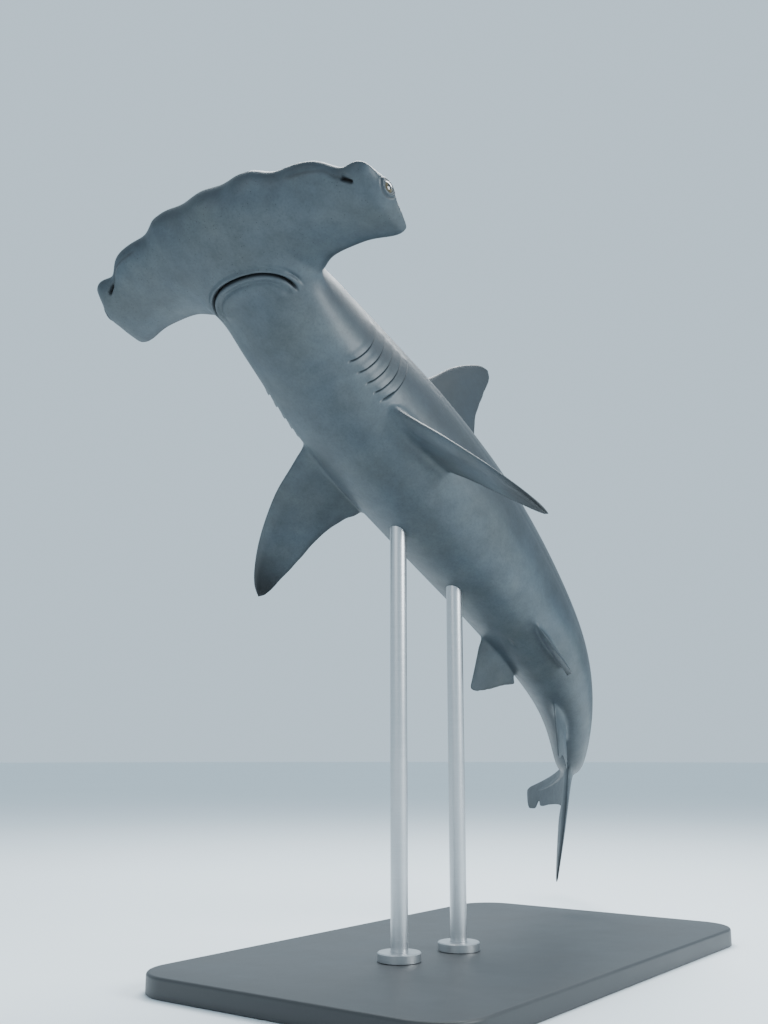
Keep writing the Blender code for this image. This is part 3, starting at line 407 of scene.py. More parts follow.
def body_cage():
    """Coarse closed cage of the head, trunk and the core of the tail."""
    mesh = bmesh.new()
    half_ring = RING // 2
    neck_u = NECK_HALF / HEAD_HALF
    angles = [math.pi * k / half_ring for k in range(half_ring + 1)]
    columns = list(reversed(WING_COLUMNS)) + [neck_u * math.cos(a) for a in angles]
    columns += [-u for u in WING_COLUMNS]
    ring_angles = [None] * len(WING_COLUMNS) + angles + [None] * len(WING_COLUMNS)
    last_row = len(CHORD_ROWS) - 1
    last_column = len(columns) - 1
    grid = {}
    for i, (u, ring_angle) in enumerate(zip(columns, ring_angles)):
        front = overshoot(front_margin, columns, i)
        rear = NECK_STATION if ring_angle is not None else rear_margin(u)
        open_end = ring_angle is not None and 0 < ring_angle < math.pi
        for j, v in enumerate(CHORD_ROWS):
            shared = i in (0, last_column) or j == 0 or (j == last_row and not open_end)
            for side in (1, -1):
                if side == -1 and shared:
                    grid[side, i, j] = grid[1, i, j]
                    continue
                point = head_point(u, v, side, ring_angle, front, rear)
                if shared:
                    point[2] = wing_droop(u) * TOTAL_LENGTH
                grid[side, i, j] = mesh.verts.new(point)
    for i in range(last_column):
        for j in range(last_row):
            for side in (1, -1):
                around = ((i, j), (i + 1, j), (i + 1, j + 1), (i, j + 1))
                corners = list(dict.fromkeys(grid[side, a, b] for a, b in around))
                mesh.faces.new(corners if side > 0 else corners[::-1])
    first = len(WING_COLUMNS)
    ring = [grid[1, first + k, last_row] for k in range(half_ring + 1)]
    ring += [grid[-1, first + k, last_row] for k in range(half_ring - 1, 0, -1)]
    for s in RING_STATIONS:
        new_ring = []
        for k in range(RING):
            angle = 2 * math.pi * k / RING
            point = section(s, angle)
            centre = straight(s, 0.0, tail_rise(s))
            new_ring.append(mesh.verts.new(centre + (point - centre) / RING_SHRINK))
        for k in range(RING):
            m = (k + 1) % RING
            mesh.faces.new((ring[k], ring[m], new_ring[m], new_ring[k]))
        ring = new_ring
    mesh.faces.new(ring)
    bmesh.ops.recalc_face_normals(mesh, faces=mesh.faces)
    return mesh


def new_object(name, collection):
    """Empty mesh object linked to a collection."""
    thing = bpy.data.objects.new(name, bpy.data.meshes.new(name))
    collection.objects.link(thing)
    return thing


def from_bmesh(work, name, collection):
    """New object from a finished bmesh."""
    thing = new_object(name, collection)
    work.to_mesh(thing.data)
    work.free()
    return thing


def apply_modifiers(thing):
    """Replace an object's mesh with the one that its modifiers make."""
    bpy.context.view_layer.update()
    graph = bpy.context.evaluated_depsgraph_get()
    mesh = bpy.data.meshes.new_from_object(thing.evaluated_get(graph))
    thing.modifiers.clear()
    thing.data = mesh


def smooth_body(collection, name, levels):
    """The body's skin from its cage, straight."""
    thing = from_bmesh(body_cage(), name, collection)
    smoothing = thing.modifiers.new("smooth", "SUBSURF")
    smoothing.levels = levels
    smoothing.render_levels = levels
    apply_modifiers(thing)
    return thing


def loft(name, collection, rings):
    """Closed body through equal rings of points, capped at both ends."""
    mesh = bmesh.new()
    rows = [[mesh.verts.new(point) for point in ring] for ring in rings]
    count = len(rows[0])
    for a, b in zip(rows, rows[1:]):
        for k in range(count):
            m = (k + 1) % count
            mesh.faces.new((a[k], a[m], b[m], b[k]))
    mesh.faces.new(rows[0][::-1])
    mesh.faces.new(rows[-1])
    bmesh.ops.triangulate(mesh, faces=[f for f in mesh.faces if len(f.verts) > 3])
    bmesh.ops.recalc_face_normals(mesh, faces=mesh.faces)
    return from_bmesh(mesh, name, collection)


def boolean(thing, operation, collection):
    """Join or cut with all objects of a collection, then drop them."""
    modifier = thing.modifiers.new(operation.lower(), "BOOLEAN")
    modifier.solver = "MANIFOLD"
    modifier.operation = operation
    modifier.operand_type = "COLLECTION"
    modifier.collection = collection
    apply_modifiers(thing)
    for used in list(collection.objects):
        bpy.data.objects.remove(used)
    keep_largest(thing.data)


def keep_largest(mesh):
    """Keep only the closed surface of the largest volume."""
    work = bmesh.new()
    work.from_mesh(mesh)
    seen = set()
    shells = []
    for start in work.faces:
        if start in seen:
            continue
        shell = []
        stack = [start]
        seen.add(start)
        while stack:
            face = stack.pop()
            shell.append(face)
            for edge in face.edges:
                for other in edge.link_faces:
                    if other not in seen:
                        seen.add(other)
                        stack.append(other)
        shells.append(shell)
    shells.sort(key=shell_volume)
    for shell in shells[:-1]:
        verts = {v for f in shell for v in f.verts}
        bmesh.ops.delete(work, geom=list(verts), context="VERTS")
    bmesh.ops.triangulate(work, faces=[f for f in work.faces if len(f.verts) > 4])
    work.to_mesh(mesh)
    work.free()


def shell_volume(faces):
    """Volume enclosed by a closed set of faces."""
    total = 0.0
    for face in faces:
        first = face.verts[0].co
        for a, b in zip(face.verts[1:], face.verts[2:]):
            total += first.dot(a.co.cross(b.co)) / 6
    return abs(total)


def mouth_path(spread, count):
    """Stations and sides along the arch of the mouth."""
    path = []
    for i in range(count):
        a = spread * (2 * i / (count - 1) - 1)
        path.append((MOUTH_FRONT + MOUTH_DEPTH * a * a, MOUTH_HALF * math.sin(a * math.pi / 2)))
    return path


def eye_centre(side):
    """Middle of the eyeball, in the outer end of the wing."""
    y = side * (HEAD_HALF - EYE_INSET)
    return straight(EYE_STATION, y, -EYE_DROP)


def side_span(side, droop, height):
    """Span of a paired fin that slants down from the flank."""
    droop = math.radians(droop)
    return np.array([0.0, side * math.cos(droop), -math.sin(droop)]) * height


def trunk_place(s, across, up):
    """Point inside the trunk, as shares of its half width and of its back height or belly depth."""
    height = through(s, STATIONS, BACK if up > 0 else BELLY)
    width = through(s, STATIONS, HALF_WIDTH)
    return np.array([-s, across * float(width), up * float(height)])


# Fine skin
BODY_LEVELS = 4
# Points of a fin: rows along its span, and columns along its chord on each face
FIN_ROWS = 56
FIN_COLUMNS = 30
TIP_START = 0.955
# How far a fin's rear edge strays, and the number of places where it does
NICK_DEPTH = 0.0004
NICKS = 24
# Reach and strength of the soft fillets where fins grow from the body
FILLET_REACH = 0.030
FILLET_ROUNDS = 34
LID_REACH = 0.009
LID_ROUNDS = 14

MM = 0.001

# Regions of the straight body that get a finer mesh: stations, and a margin or a half width
GILL_REGION = (0.153, 0.224)
GILL_REGION_MARGIN = 9
MOUTH_REGION = (0.050, 0.112)
MOUTH_REGION_HALF = 0.050
EYE_REGION = 0.017

# Folds across a line: height, place and width in millimetres
GILL_FLAP = (3.2, 0, 11)
GILL_SLIT = (-8.5, 2.6, 2.7)
GILL_FLAP_SLIDE = (-3.4, 0, 5)
GILL_SLIT_SLIDE = (2.6, 1.4, 2.0)
LIPS = ((3.0, 6.0, 4.5), (4.6, -6.5, 5.0))
MOUTH_CREASE = ((-11.0, 0, 2.0), (-1.5, 14, 4.0))
CHIN = ((3.5, -28, 13), (-2.0, -16, 4.0))
LABIAL_FURROW = (-3.0, 12, 2.4)
LID_RIDGE = (1.8, 2.2, 2.1)
LID_CREASE = (-1.6, 6.4, 1.5)
LID_OUTER_FOLD = (0.5, 10, 2.6)
# The lid's folds are strongest above the eye and weakest below it
LID_FOLD_MIDDLE = 0.55
LID_FOLD_SWING = 0.45
# Painted shadows, as dark lines across a line: strength from 0 to 1, place and width in millimetres
GILL_SHADOW = (1.6, 3.0)
LID_SHADOWS = ((0.45, 6.4, 1.3), (0.7, 0, 1.1))

# Nostrils and their grooves, in millimetres: depth and width, then the rim's height, place and width
NOSTRIL_DEPTH = 10.0
NOSTRIL_WIDTH = 3.0
RIM_HEIGHT = 1.3
RIM_PLACE = 6.0
RIM_WIDTH = 2.6
GROOVE_DEPTH = 2.2
GROOVE_WIDTH = 2.8
GROOVE_SHADE = 0.35

# Vent, the pit before the tail fin and the swelling round the eye: millimetres, and stations
VENT_DEPTH = 4.0
VENT_WIDTH = 2.6
VENT_STATIONS = (0.494, 0.509)
VENT_EASE = 0.004
PIT_DEPTH = 5.0
PIT_STATION = 0.716
PIT_LENGTH = 9
PIT_WIDTH = 16
SWELLING_HEIGHT = 3.4
SWELLING_RING = 0.75
SWELLING_WIDTH = 14
SWELLING_REACH = 0.02


def arrays(mesh):
    """Points and vertex normals of a mesh."""
    points = np.empty(len(mesh.vertices) * 3)
    mesh.vertices.foreach_get("co", points)
    normals = np.empty(len(mesh.vertices) * 3)
    mesh.vertex_normals.foreach_get("vector", normals)
    return points.reshape(-1, 3), normals.reshape(-1, 3)


def set_points(mesh, points):
    """Move a mesh's points."""
    mesh.vertices.foreach_set("co", np.ascontiguousarray(points).ravel())
    mesh.update()


def body_angle(points):
    """Station, and the angle round the trunk from the left side, in radians."""
    s = -points[:, 0] / TOTAL_LENGTH
    width = through(s, STATIONS, HALF_WIDTH)
    up = points[:, 2] / TOTAL_LENGTH - tail_rise(s)
    height = np.where(up > 0, through(s, STATIONS, BACK), through(s, STATIONS, BELLY))
    return s, np.arctan2(up / height, points[:, 1] / TOTAL_LENGTH / width)


def flank_angle(angle):
    """Degrees above the side line at an angle round the trunk, the same on both flanks."""
    return np.degrees(np.arctan2(np.sin(angle), np.abs(np.cos(angle))))


def refine(mesh):
    """Split the faces round the gills, the mouth and the eyes, where the folds are finest."""
    work = bmesh.new()
    work.from_mesh(mesh)
    centres = np.array([f.calc_center_median() for f in work.faces])
    s, angle = body_angle(centres)
    height = flank_angle(angle)
    across = np.abs(centres[:, 1])
    gills = (s > GILL_REGION[0]) & (s < GILL_REGION[1])
    gills &= (height > GILL_LOW - GILL_REGION_MARGIN) & (height < GILL_HIGH + GILL_REGION_MARGIN)
    mouth = (s > MOUTH_REGION[0]) & (s < MOUTH_REGION[1])
    mouth &= (across < MOUTH_REGION_HALF * TOTAL_LENGTH) & (centres[:, 2] < 0)
    eyes = (np.abs(s - EYE_STATION) < EYE_REGION) & (across > (HEAD_HALF - EYE_REGION) * TOTAL_LENGTH)
    work.faces.ensure_lookup_table()
    regions = [([work.faces[i] for i in np.flatnonzero(chosen)], cuts)
               for chosen, cuts in ((gills, 2), (mouth, 1), (eyes, 1))]
    for faces, cuts in regions:
        edges = list({e for f in faces for e in f.edges})
        bmesh.ops.subdivide_edges(work, edges=edges, cuts=cuts, use_grid_fill=True)
    work.to_mesh(mesh)
    work.free()


def bell(x, width):
    """Smooth bump of height 1."""
    return np.exp(-(x / width) ** 2)


def fold(distance, height, place, width):
    """Soft bump across a line, from its height, place and width in millimetres."""
    return height * MM * bell(distance - place * MM, width * MM)


def relief(distance, *folds):
    """Sum of soft bumps across a line, with heights that are not yet turned into metres."""
    return sum(height * bell(distance - place * MM, width * MM) for height, place, width in folds)


def gill_curve(t):
    """How far behind its station a slit lies at a share t of its height."""
    return GILL_BOW * np.sin(math.pi * np.clip(t, 0, 1)) + GILL_SLANT * np.clip(t, 0, 1)


def gill_share(angle):
    """Share of a slit's height at an angle round the trunk."""
    return (flank_angle(angle) - GILL_LOW) / (GILL_HIGH - GILL_LOW)


def gill_relief(points, normals):
    """Skin round the five slits of each flank: flaps that lie over narrow grooves.

    The rows of points, which cross the flank upright, are first slid along it until they follow the
    slits, so that each edge runs along a row.
    """
    s, angle = body_angle(points)
    t = gill_share(angle)
    near = ease((s - 0.140) / 0.018) * ease((0.245 - s) / 0.022) * ease((t + 0.9) / 0.8)
    near = near * ease((1.9 - t) / 0.8)
    moved = s + gill_curve(t) * near
    rise = tail_rise(s)
    wider = through(moved, STATIONS, HALF_WIDTH) / through(s, STATIONS, HALF_WIDTH)
    table = np.where(np.sin(angle) > 0, through(moved, STATIONS, BACK) / through(s, STATIONS, BACK),
                     through(moved, STATIONS, BELLY) / through(s, STATIONS, BELLY))
    on_flank = near > 0
    points = points.copy()
    points[:, 0] = np.where(on_flank, -moved * TOTAL_LENGTH, points[:, 0])
    points[:, 1] = np.where(on_flank, points[:, 1] * wider, points[:, 1])
    points[:, 2] = np.where(on_flank, (points[:, 2] - rise * TOTAL_LENGTH) * table + rise * TOTAL_LENGTH,
                            points[:, 2])
    inside = ease((t + 0.05) / 0.18) * ease((1.05 - t) / 0.18) * on_flank
    rows, counts = np.unique(np.round(s[inside > 0.9], 6), return_counts=True)
    rows = rows[counts > 40]
    height = np.zeros(len(points))
    slide = np.zeros(len(points))
    dark = np.zeros(len(points))
    for station in GILL_STATIONS:
        row = rows[np.argmin(np.abs(rows - station))]
        behind = (s - row) * TOTAL_LENGTH
        before = behind < 0.05 * MM
        height += np.where(before, fold(behind, *GILL_FLAP), fold(behind, *GILL_SLIT))
        slide += np.where(before, fold(behind, *GILL_FLAP_SLIDE), fold(behind, *GILL_SLIT_SLIDE))
        # Painted shadow inside each slit, behind its flap
        place, width = GILL_SHADOW
        dark = np.maximum(dark, np.where(before, 0.0, bell(behind - place * MM, width * MM)))
    points += normals * (height * inside)[:, None]
    points[:, 0] += slide * inside
    return points, dark * inside


def path_distance(points, path):
    """Distance in plan to a line of points, signed by its left side, and the share of its length."""
    path = np.asarray(path)
    flat = points[:, :2]
    best = np.full(len(flat), 1e9)
    side = np.zeros(len(flat))
    share = np.zeros(len(flat))
    for i in range(len(path) - 1):
        a = path[i]
        leg = path[i + 1] - a
        t = np.clip(((flat - a) @ leg) / (leg @ leg), 0, 1)
        off = flat - a - t[:, None] * leg
        gap = np.hypot(off[:, 0], off[:, 1])
        near = gap < best
        best = np.where(near, gap, best)
        side = np.where(near, np.sign(leg[0] * off[:, 1] - leg[1] * off[:, 0]), side)
        share = np.where(near, (i + t) / (len(path) - 1), share)
    return best * side, share


def mouth_relief(points, normals):
    """Lips along the arch of the mouth with a deep crease between them, and the chin behind it."""
    near = (points[:, 2] < 0) & (np.abs(points[:, 1]) < 0.055 * TOTAL_LENGTH)
    near &= (points[:, 0] < -0.035 * TOTAL_LENGTH) & (points[:, 0] > -0.125 * TOTAL_LENGTH)
    chosen = np.flatnonzero(near)
    path = [(-s * TOTAL_LENGTH, y * TOTAL_LENGTH) for s, y in mouth_path(1.06, 61)]
    distance, share = path_distance(points[chosen], path)
    ends = ease(share / 0.09) * ease((1 - share) / 0.09)
    below = ease((-normals[chosen, 2] - 0.1) / 0.3)
    if distance[np.argmax(points[chosen, 0])] < 0:
        distance = -distance
    corner = ease((np.abs(share - 0.5) - 0.33) / 0.06)
    move = relief(distance, *LIPS) + relief(distance, *MOUTH_CREASE) + relief(distance, *CHIN)
    move = (move + relief(distance, LABIAL_FURROW) * corner) * ends * below * MM
    dark = np.zeros(len(points))
    # Painted shade along the gap between the closed lips
    dark[chosen] = bell(distance, 2.6 * MM) * ends * below
    points = points.copy()
    points[chosen] += normals[chosen] * move[:, None]
    return points, dark


def nostril_relief(points, normals):
    """Slanting nostrils with their flaps, and the grooves that run from them along the front."""
    below = ease((-normals[:, 2] + 0.05) / 0.35)
    dark = np.zeros(len(points))
    points = points.copy()
    for side in (1, -1):
        slot = []
        for u in np.linspace(NOSTRIL_PLACES[0], NOSTRIL_PLACES[-1], 9):
            station = front_margin(u) + NOSTRIL_INSET + NOSTRIL_SLANT * (u - NOSTRIL_PLACES[0])
            slot.append((-station * TOTAL_LENGTH, side * u * HEAD_HALF * TOTAL_LENGTH))
        groove = []
        for u in np.linspace(GROOVE_START, NOSTRIL_PLACES[0], 19):
            station = front_margin(u) + GROOVE_INSET
            groove.append((-station * TOTAL_LENGTH, side * u * HEAD_HALF * TOTAL_LENGTH))
        distance, share = path_distance(points, slot)
        distance = np.abs(distance)
        ends = ease((share + 0.02) / 0.22) * ease((1.02 - share) / 0.22)
        hollow = bell(distance, NOSTRIL_WIDTH * MM) * ends * below
        rim = bell(distance - RIM_PLACE * MM, RIM_WIDTH * MM) * ends * below
        line, along = path_distance(points, groove)
        shallow = bell(line, GROOVE_WIDTH * MM) * ease(along / 0.25) * below
        height = RIM_HEIGHT * rim - NOSTRIL_DEPTH * hollow - GROOVE_DEPTH * shallow
        points += normals * (height * MM)[:, None]
        # Painted shade in the nostrils' hollows and, fainter, along their grooves
        dark = np.maximum(dark, np.maximum(hollow, GROOVE_SHADE * shallow))
    return points, dark


def small_relief(points, normals):
    """Vent, the pit before the tail fin, and the soft swelling round each eye."""
    s, _ = body_angle(points)
    x = points[:, 0]
    y = points[:, 1]
    first, last = VENT_STATIONS
    along = ease((s - first) / VENT_EASE)
    height = -VENT_DEPTH * bell(y, VENT_WIDTH * MM) * along * ease((last - s) / VENT_EASE)
    height = height * (normals[:, 2] < 0)
    pit = -PIT_DEPTH * bell(x + PIT_STATION * TOTAL_LENGTH, PIT_LENGTH * MM)
    height += pit * bell(y, PIT_WIDTH * MM) * (normals[:, 2] > 0)
    for side in (1, -1):
        offset = points - eye_centre(side)
        radial = np.hypot(offset[:, 0], offset[:, 2])
        outer = ease((side * y - (HEAD_HALF - SWELLING_REACH) * TOTAL_LENGTH) / SWELLING_REACH)
        ring = SWELLING_RING * EYE_RADIUS * TOTAL_LENGTH
        height += SWELLING_HEIGHT * bell(radial - ring, SWELLING_WIDTH * MM) * outer
    return points + normals * (height * MM)[:, None]


def fin_rows(name, root, span, back, lead, trail, thickness, curve, seed):
    """Rings of points of one fin, from its sunk root to its rounded tip."""
    normal = np.cross(back, span)
    normal = normal / np.linalg.norm(normal)
    rough = np.random.default_rng(seed)
    nicks = rough.uniform(-1, 1, NICKS)
    chord = (1 - np.cos(np.linspace(0, math.pi, FIN_COLUMNS))) / 2
    share = through(chord, (0.0,) + FIN_CHORD, (0.0,) + FIN_PROFILE)
    nose = chord < FIN_CHORD[0]
    share[nose] = FIN_PROFILE[0] * np.sqrt(chord[nose] / FIN_CHORD[0])
    places = 1 - (1 - np.linspace(0, 1, FIN_ROWS)) ** 1.4
    if not name.endswith("lobe"):
        places = np.concatenate([[-0.16, -0.08], places])
    rings = []
    for v in places:
        out = max(v, 0.0)
        start = float(through(out, *lead)) * TOTAL_LENGTH
        end = float(through(out, *trail)) * TOTAL_LENGTH
        nick = np.interp(out * (NICKS - 1), range(NICKS), nicks)
        end += NICK_DEPTH * TOTAL_LENGTH * nick * float(ease(out * 8))
        if v > TIP_START:
            round_off = (v - TIP_START) / (1 - TIP_START)
            squeeze = 1 - math.sqrt(max(1 - round_off ** 2, 0.0004))
            middle_chord = start + 0.45 * (end - start)
            start += (middle_chord - start) * squeeze
            end += (middle_chord - end) * squeeze
        half = max(thickness * TOTAL_LENGTH * 0.5 * (1 - FIN_TAPER * out), FIN_TIP_HALF)
        half *= 1 + ROOT_FLARE * math.exp(-out / ROOT_FLARE_REACH)
        if v > TIP_START:
            half *= math.sqrt(max(1 - round_off ** 2, 0.01))
        middle = (root + span * v + normal * curve * out * out) * TOTAL_LENGTH
        turn = math.radians(LOWER_TWIST) * float(ease(out / TWIST_REACH)) * (name == "lower_lobe")
        across = back * math.cos(turn) + normal * math.sin(turn)
        face = normal * math.cos(turn) - back * math.sin(turn)
        line = middle + across * (start + (end - start) * chord)[:, None]
        edge = FIN_EDGE_HALF * np.minimum(1, half / FIN_TIP_HALF)
        lift = face * np.maximum(half * share, edge)[:, None]
        top = line + lift
        low = line - lift
        rings.append(np.vstack([line[:1], top[1:], low[:0:-1]]))
    return rings


def fin_table():
    """Every fin's name, root, span, backward direction, edges, thickness and curve."""
    fins = []
    for side, label in ((1, "left"), (-1, "right")):
        droop, swing = PECTORAL_SET[label]
        unit = side_span(side, droop, 1.0)
        swing = math.radians(swing)
        back = BACKWARD * math.cos(swing) - unit * math.sin(swing)
        span = (unit * math.cos(swing) + BACKWARD * math.sin(swing)) * PECTORAL_HEIGHT
        across, depth = PECTORAL_ROOT
        root = trunk_place(PECTORAL_STATION, side * across, depth)
        fins.append(("pectoral_fin_" + label, root, span, back, PECTORAL_LEAD, PECTORAL_TRAIL,
                     PECTORAL_THICKNESS, -PECTORAL_CURVE * side))
        across, depth = PELVIC_ROOT
        root = trunk_place(PELVIC_STATION, side * across, depth)
        span = side_span(side, PELVIC_DROOP, PELVIC_HEIGHT)
        fins.append(("pelvic_fin_" + label, root, span, BACKWARD, PELVIC_LEAD, PELVIC_TRAIL,
                     PELVIC_THICKNESS, 0.0))
    lean = math.radians(DORSAL_LEAN)
    span = np.array([0.0, math.sin(lean), math.cos(lean)]) * DORSAL_HEIGHT
    fins.append(("first_dorsal_fin", trunk_place(DORSAL_STATION, 0.0, DORSAL_ROOT), span, BACKWARD,
                 DORSAL_LEAD, DORSAL_TRAIL, DORSAL_THICKNESS, 0.0))
    root = trunk_place(SECOND_DORSAL_STATION, 0.0, SECOND_DORSAL_ROOT)
    fins.append(("second_dorsal_fin", root, np.array([0.0, 0.0, SECOND_DORSAL_HEIGHT]), BACKWARD,
                 SECOND_DORSAL_LEAD, SECOND_DORSAL_TRAIL, SECOND_DORSAL_THICKNESS, 0.0))
    root = trunk_place(ANAL_STATION, 0.0, ANAL_ROOT)
    fins.append(("anal_fin", root, np.array([0.0, 0.0, -ANAL_HEIGHT]), BACKWARD, ANAL_LEAD,
                 ANAL_TRAIL, ANAL_THICKNESS, 0.0))
    upper = math.radians(UPPER_ANGLE)
    span = np.array([-math.cos(upper), 0.0, math.sin(upper)]) * UPPER_LENGTH
    back = np.array([-math.sin(upper), 0.0, -math.cos(upper)])
    fins.append(("upper_lobe", np.array(UPPER_ROOT), span, back, UPPER_LEAD, UPPER_TRAIL,
                 UPPER_THICKNESS, 0.0))
    lower = math.radians(LOWER_ANGLE)
    span = np.array([-math.cos(lower), 0.0, -math.sin(lower)]) * LOWER_LENGTH
    back = np.array([-math.sin(lower), 0.0, math.cos(lower)])
    fins.append(("lower_lobe", np.array(LOWER_ROOT), span, back, LOWER_LEAD, LOWER_TRAIL,
                 LOWER_THICKNESS, LOWER_CURVE))
    return fins


def eye_axes(side):
    """Outward, upward and forward directions of an eye."""
    outward = np.array([GAZE_AHEAD, side, GAZE_UP])
    outward = outward / np.linalg.norm(outward)
    upward = np.array([0.0, 0.0, 1.0])
    return outward, upward, np.cross(upward, outward)


def eye_ball(side, size, segments):
    """Points and faces of a sphere in the socket, its poles on the line of sight."""
    outward, upward, ahead = eye_axes(side)
    work = bmesh.new()
    bmesh.ops.create_uvsphere(work, u_segments=segments, v_segments=segments // 2, radius=size)
    centre = eye_centre(side)
    for vertex in work.verts:
        x, y, z = vertex.co
        vertex.co = Vector(centre + x * ahead + y * upward * EYE_HEIGHT + z * outward)
    work.normal_update()
    bmesh.ops.recalc_face_normals(work, faces=work.faces)
    return work


def lid(side, collection):
    """Smooth rounded lid all round the eye."""
    outward, upward, ahead = eye_axes(side)
    radius = EYE_RADIUS * TOTAL_LENGTH
    centre = eye_centre(side)
    work = bmesh.new()
    rows = []
    steps = 72
    sides = 14
    for i in range(steps):
        a = 2 * math.pi * i / steps
        radial = math.cos(a) * ahead + LID_HEIGHT * math.sin(a) * upward
        middle = centre + outward * radius * LID_OUT + radial * radius * LID_RING
        row = []
        for k in range(sides):
            b = 2 * math.pi * k / sides
            around = math.cos(b) * radial + math.sin(b) * outward
            row.append(work.verts.new(middle + radius * LID_THICKNESS * around))
        rows.append(row)
    for i, a in enumerate(rows):
        b = rows[(i + 1) % len(rows)]
        for k in range(sides):
            m = (k + 1) % sides
            work.faces.new((a[k], a[m], b[m], b[k]))
    bmesh.ops.recalc_face_normals(work, faces=work.faces)
    return from_bmesh(work, "lid", collection)


def lid_place(points, side):
    """Distance of each point outside the rim of an eye's opening, and how near it is to the eye."""
    outward, upward, ahead = eye_axes(side)
    radius = EYE_RADIUS * TOTAL_LENGTH
    offset = points - eye_centre(side)
    across = np.hypot(offset @ ahead, offset @ upward / LID_HEIGHT)
    near = ease((offset @ outward / radius + 0.1) / 0.3) * ease((2.2 * radius - across) / (0.4 * radius))
    return across - LID_RING * radius, near


def lid_height(points, side):
    """How high round an eye each point lies, from -1 below it to 1 above it."""
    _, upward, ahead = eye_axes(side)
    offset = points - eye_centre(side)
    return np.sin(np.arctan2(offset @ upward, offset @ ahead))


def seam_points(points, skin_tree, piece_trees):
    """Points that lie on the body and on a piece joined to it."""
    found = []
    for tree, low, high in piece_trees:
        inside = np.all((points > low - 1e-4) & (points < high + 1e-4), axis=1)
        for i in np.flatnonzero(inside):
            point = Vector(points[i])
            if tree.find_nearest(point, 2e-5)[0] is None:
                continue
            if skin_tree.find_nearest(point, 2e-5)[0] is not None:
                found.append(i)
    return np.array(sorted(set(found)), int)


def tree_of(thing):
    """Search tree of an object's surface with its box."""
    points, _ = arrays(thing.data)
    faces = [tuple(p.vertices) for p in thing.data.polygons]
    tree = BVHTree.FromPolygons([Vector(p) for p in points], faces)
    return tree, points.min(0), points.max(0)


def soften(mesh, points, seams, reach, rounds):
    """Relax the skin near the given seams, so that pieces flow into it."""
    if not len(seams):
        return points
    tree = KDTree(len(seams))
    for k, i in enumerate(seams):
        tree.insert(Vector(points[i]), k)
    tree.balance()
    low = points[seams].min(0) - reach
    high = points[seams].max(0) + reach
    weight = np.zeros(len(points))
    for i in np.flatnonzero(np.all((points > low) & (points < high), axis=1)):
        gap = tree.find(Vector(points[i]))[2]
        if gap < reach:
            weight[i] = 1 - gap / reach
    weight = ease(weight)
    edges = np.empty(len(mesh.edges) * 2, int)
    mesh.edges.foreach_get("vertices", edges)
    edges = edges.reshape(-1, 2)
    edges = edges[(weight[edges] > 0).any(axis=1)]
    a = np.concatenate([edges[:, 0], edges[:, 1]])
    b = np.concatenate([edges[:, 1], edges[:, 0]])
    count = np.maximum(np.bincount(a, minlength=len(points)), 1)
    for _ in range(rounds):
        total = np.stack([np.bincount(a, points[b, k], len(points)) for k in range(3)], 1)
        mean = total / count[:, None]
        points = points + (mean - points) * (0.6 * weight)[:, None] * (weight > 0)[:, None]
    return points


def fin_place(points, fin):
    """How far out along a fin each point lies, its share of the chord, and whether it is on it."""
    _, root, span, back, lead, trail, thickness, curve = fin
    length = np.linalg.norm(span)
    unit = span / length
    normal = np.cross(back, unit)
    offset = points / TOTAL_LENGTH - root
    out = offset @ unit / length
    inside = np.clip(out, 0, 1)
    start = through(inside, *lead)
    end = through(inside, *trail)
    chord = (offset @ back - start) / np.maximum(end - start, 1e-4)
    plane = np.abs(offset @ normal - curve * inside * inside)
    on = (out > 0) & (out < 1.1) & (chord > -0.15) & (chord < 1.15) & (plane < thickness * 1.3)
    return out, chord, on


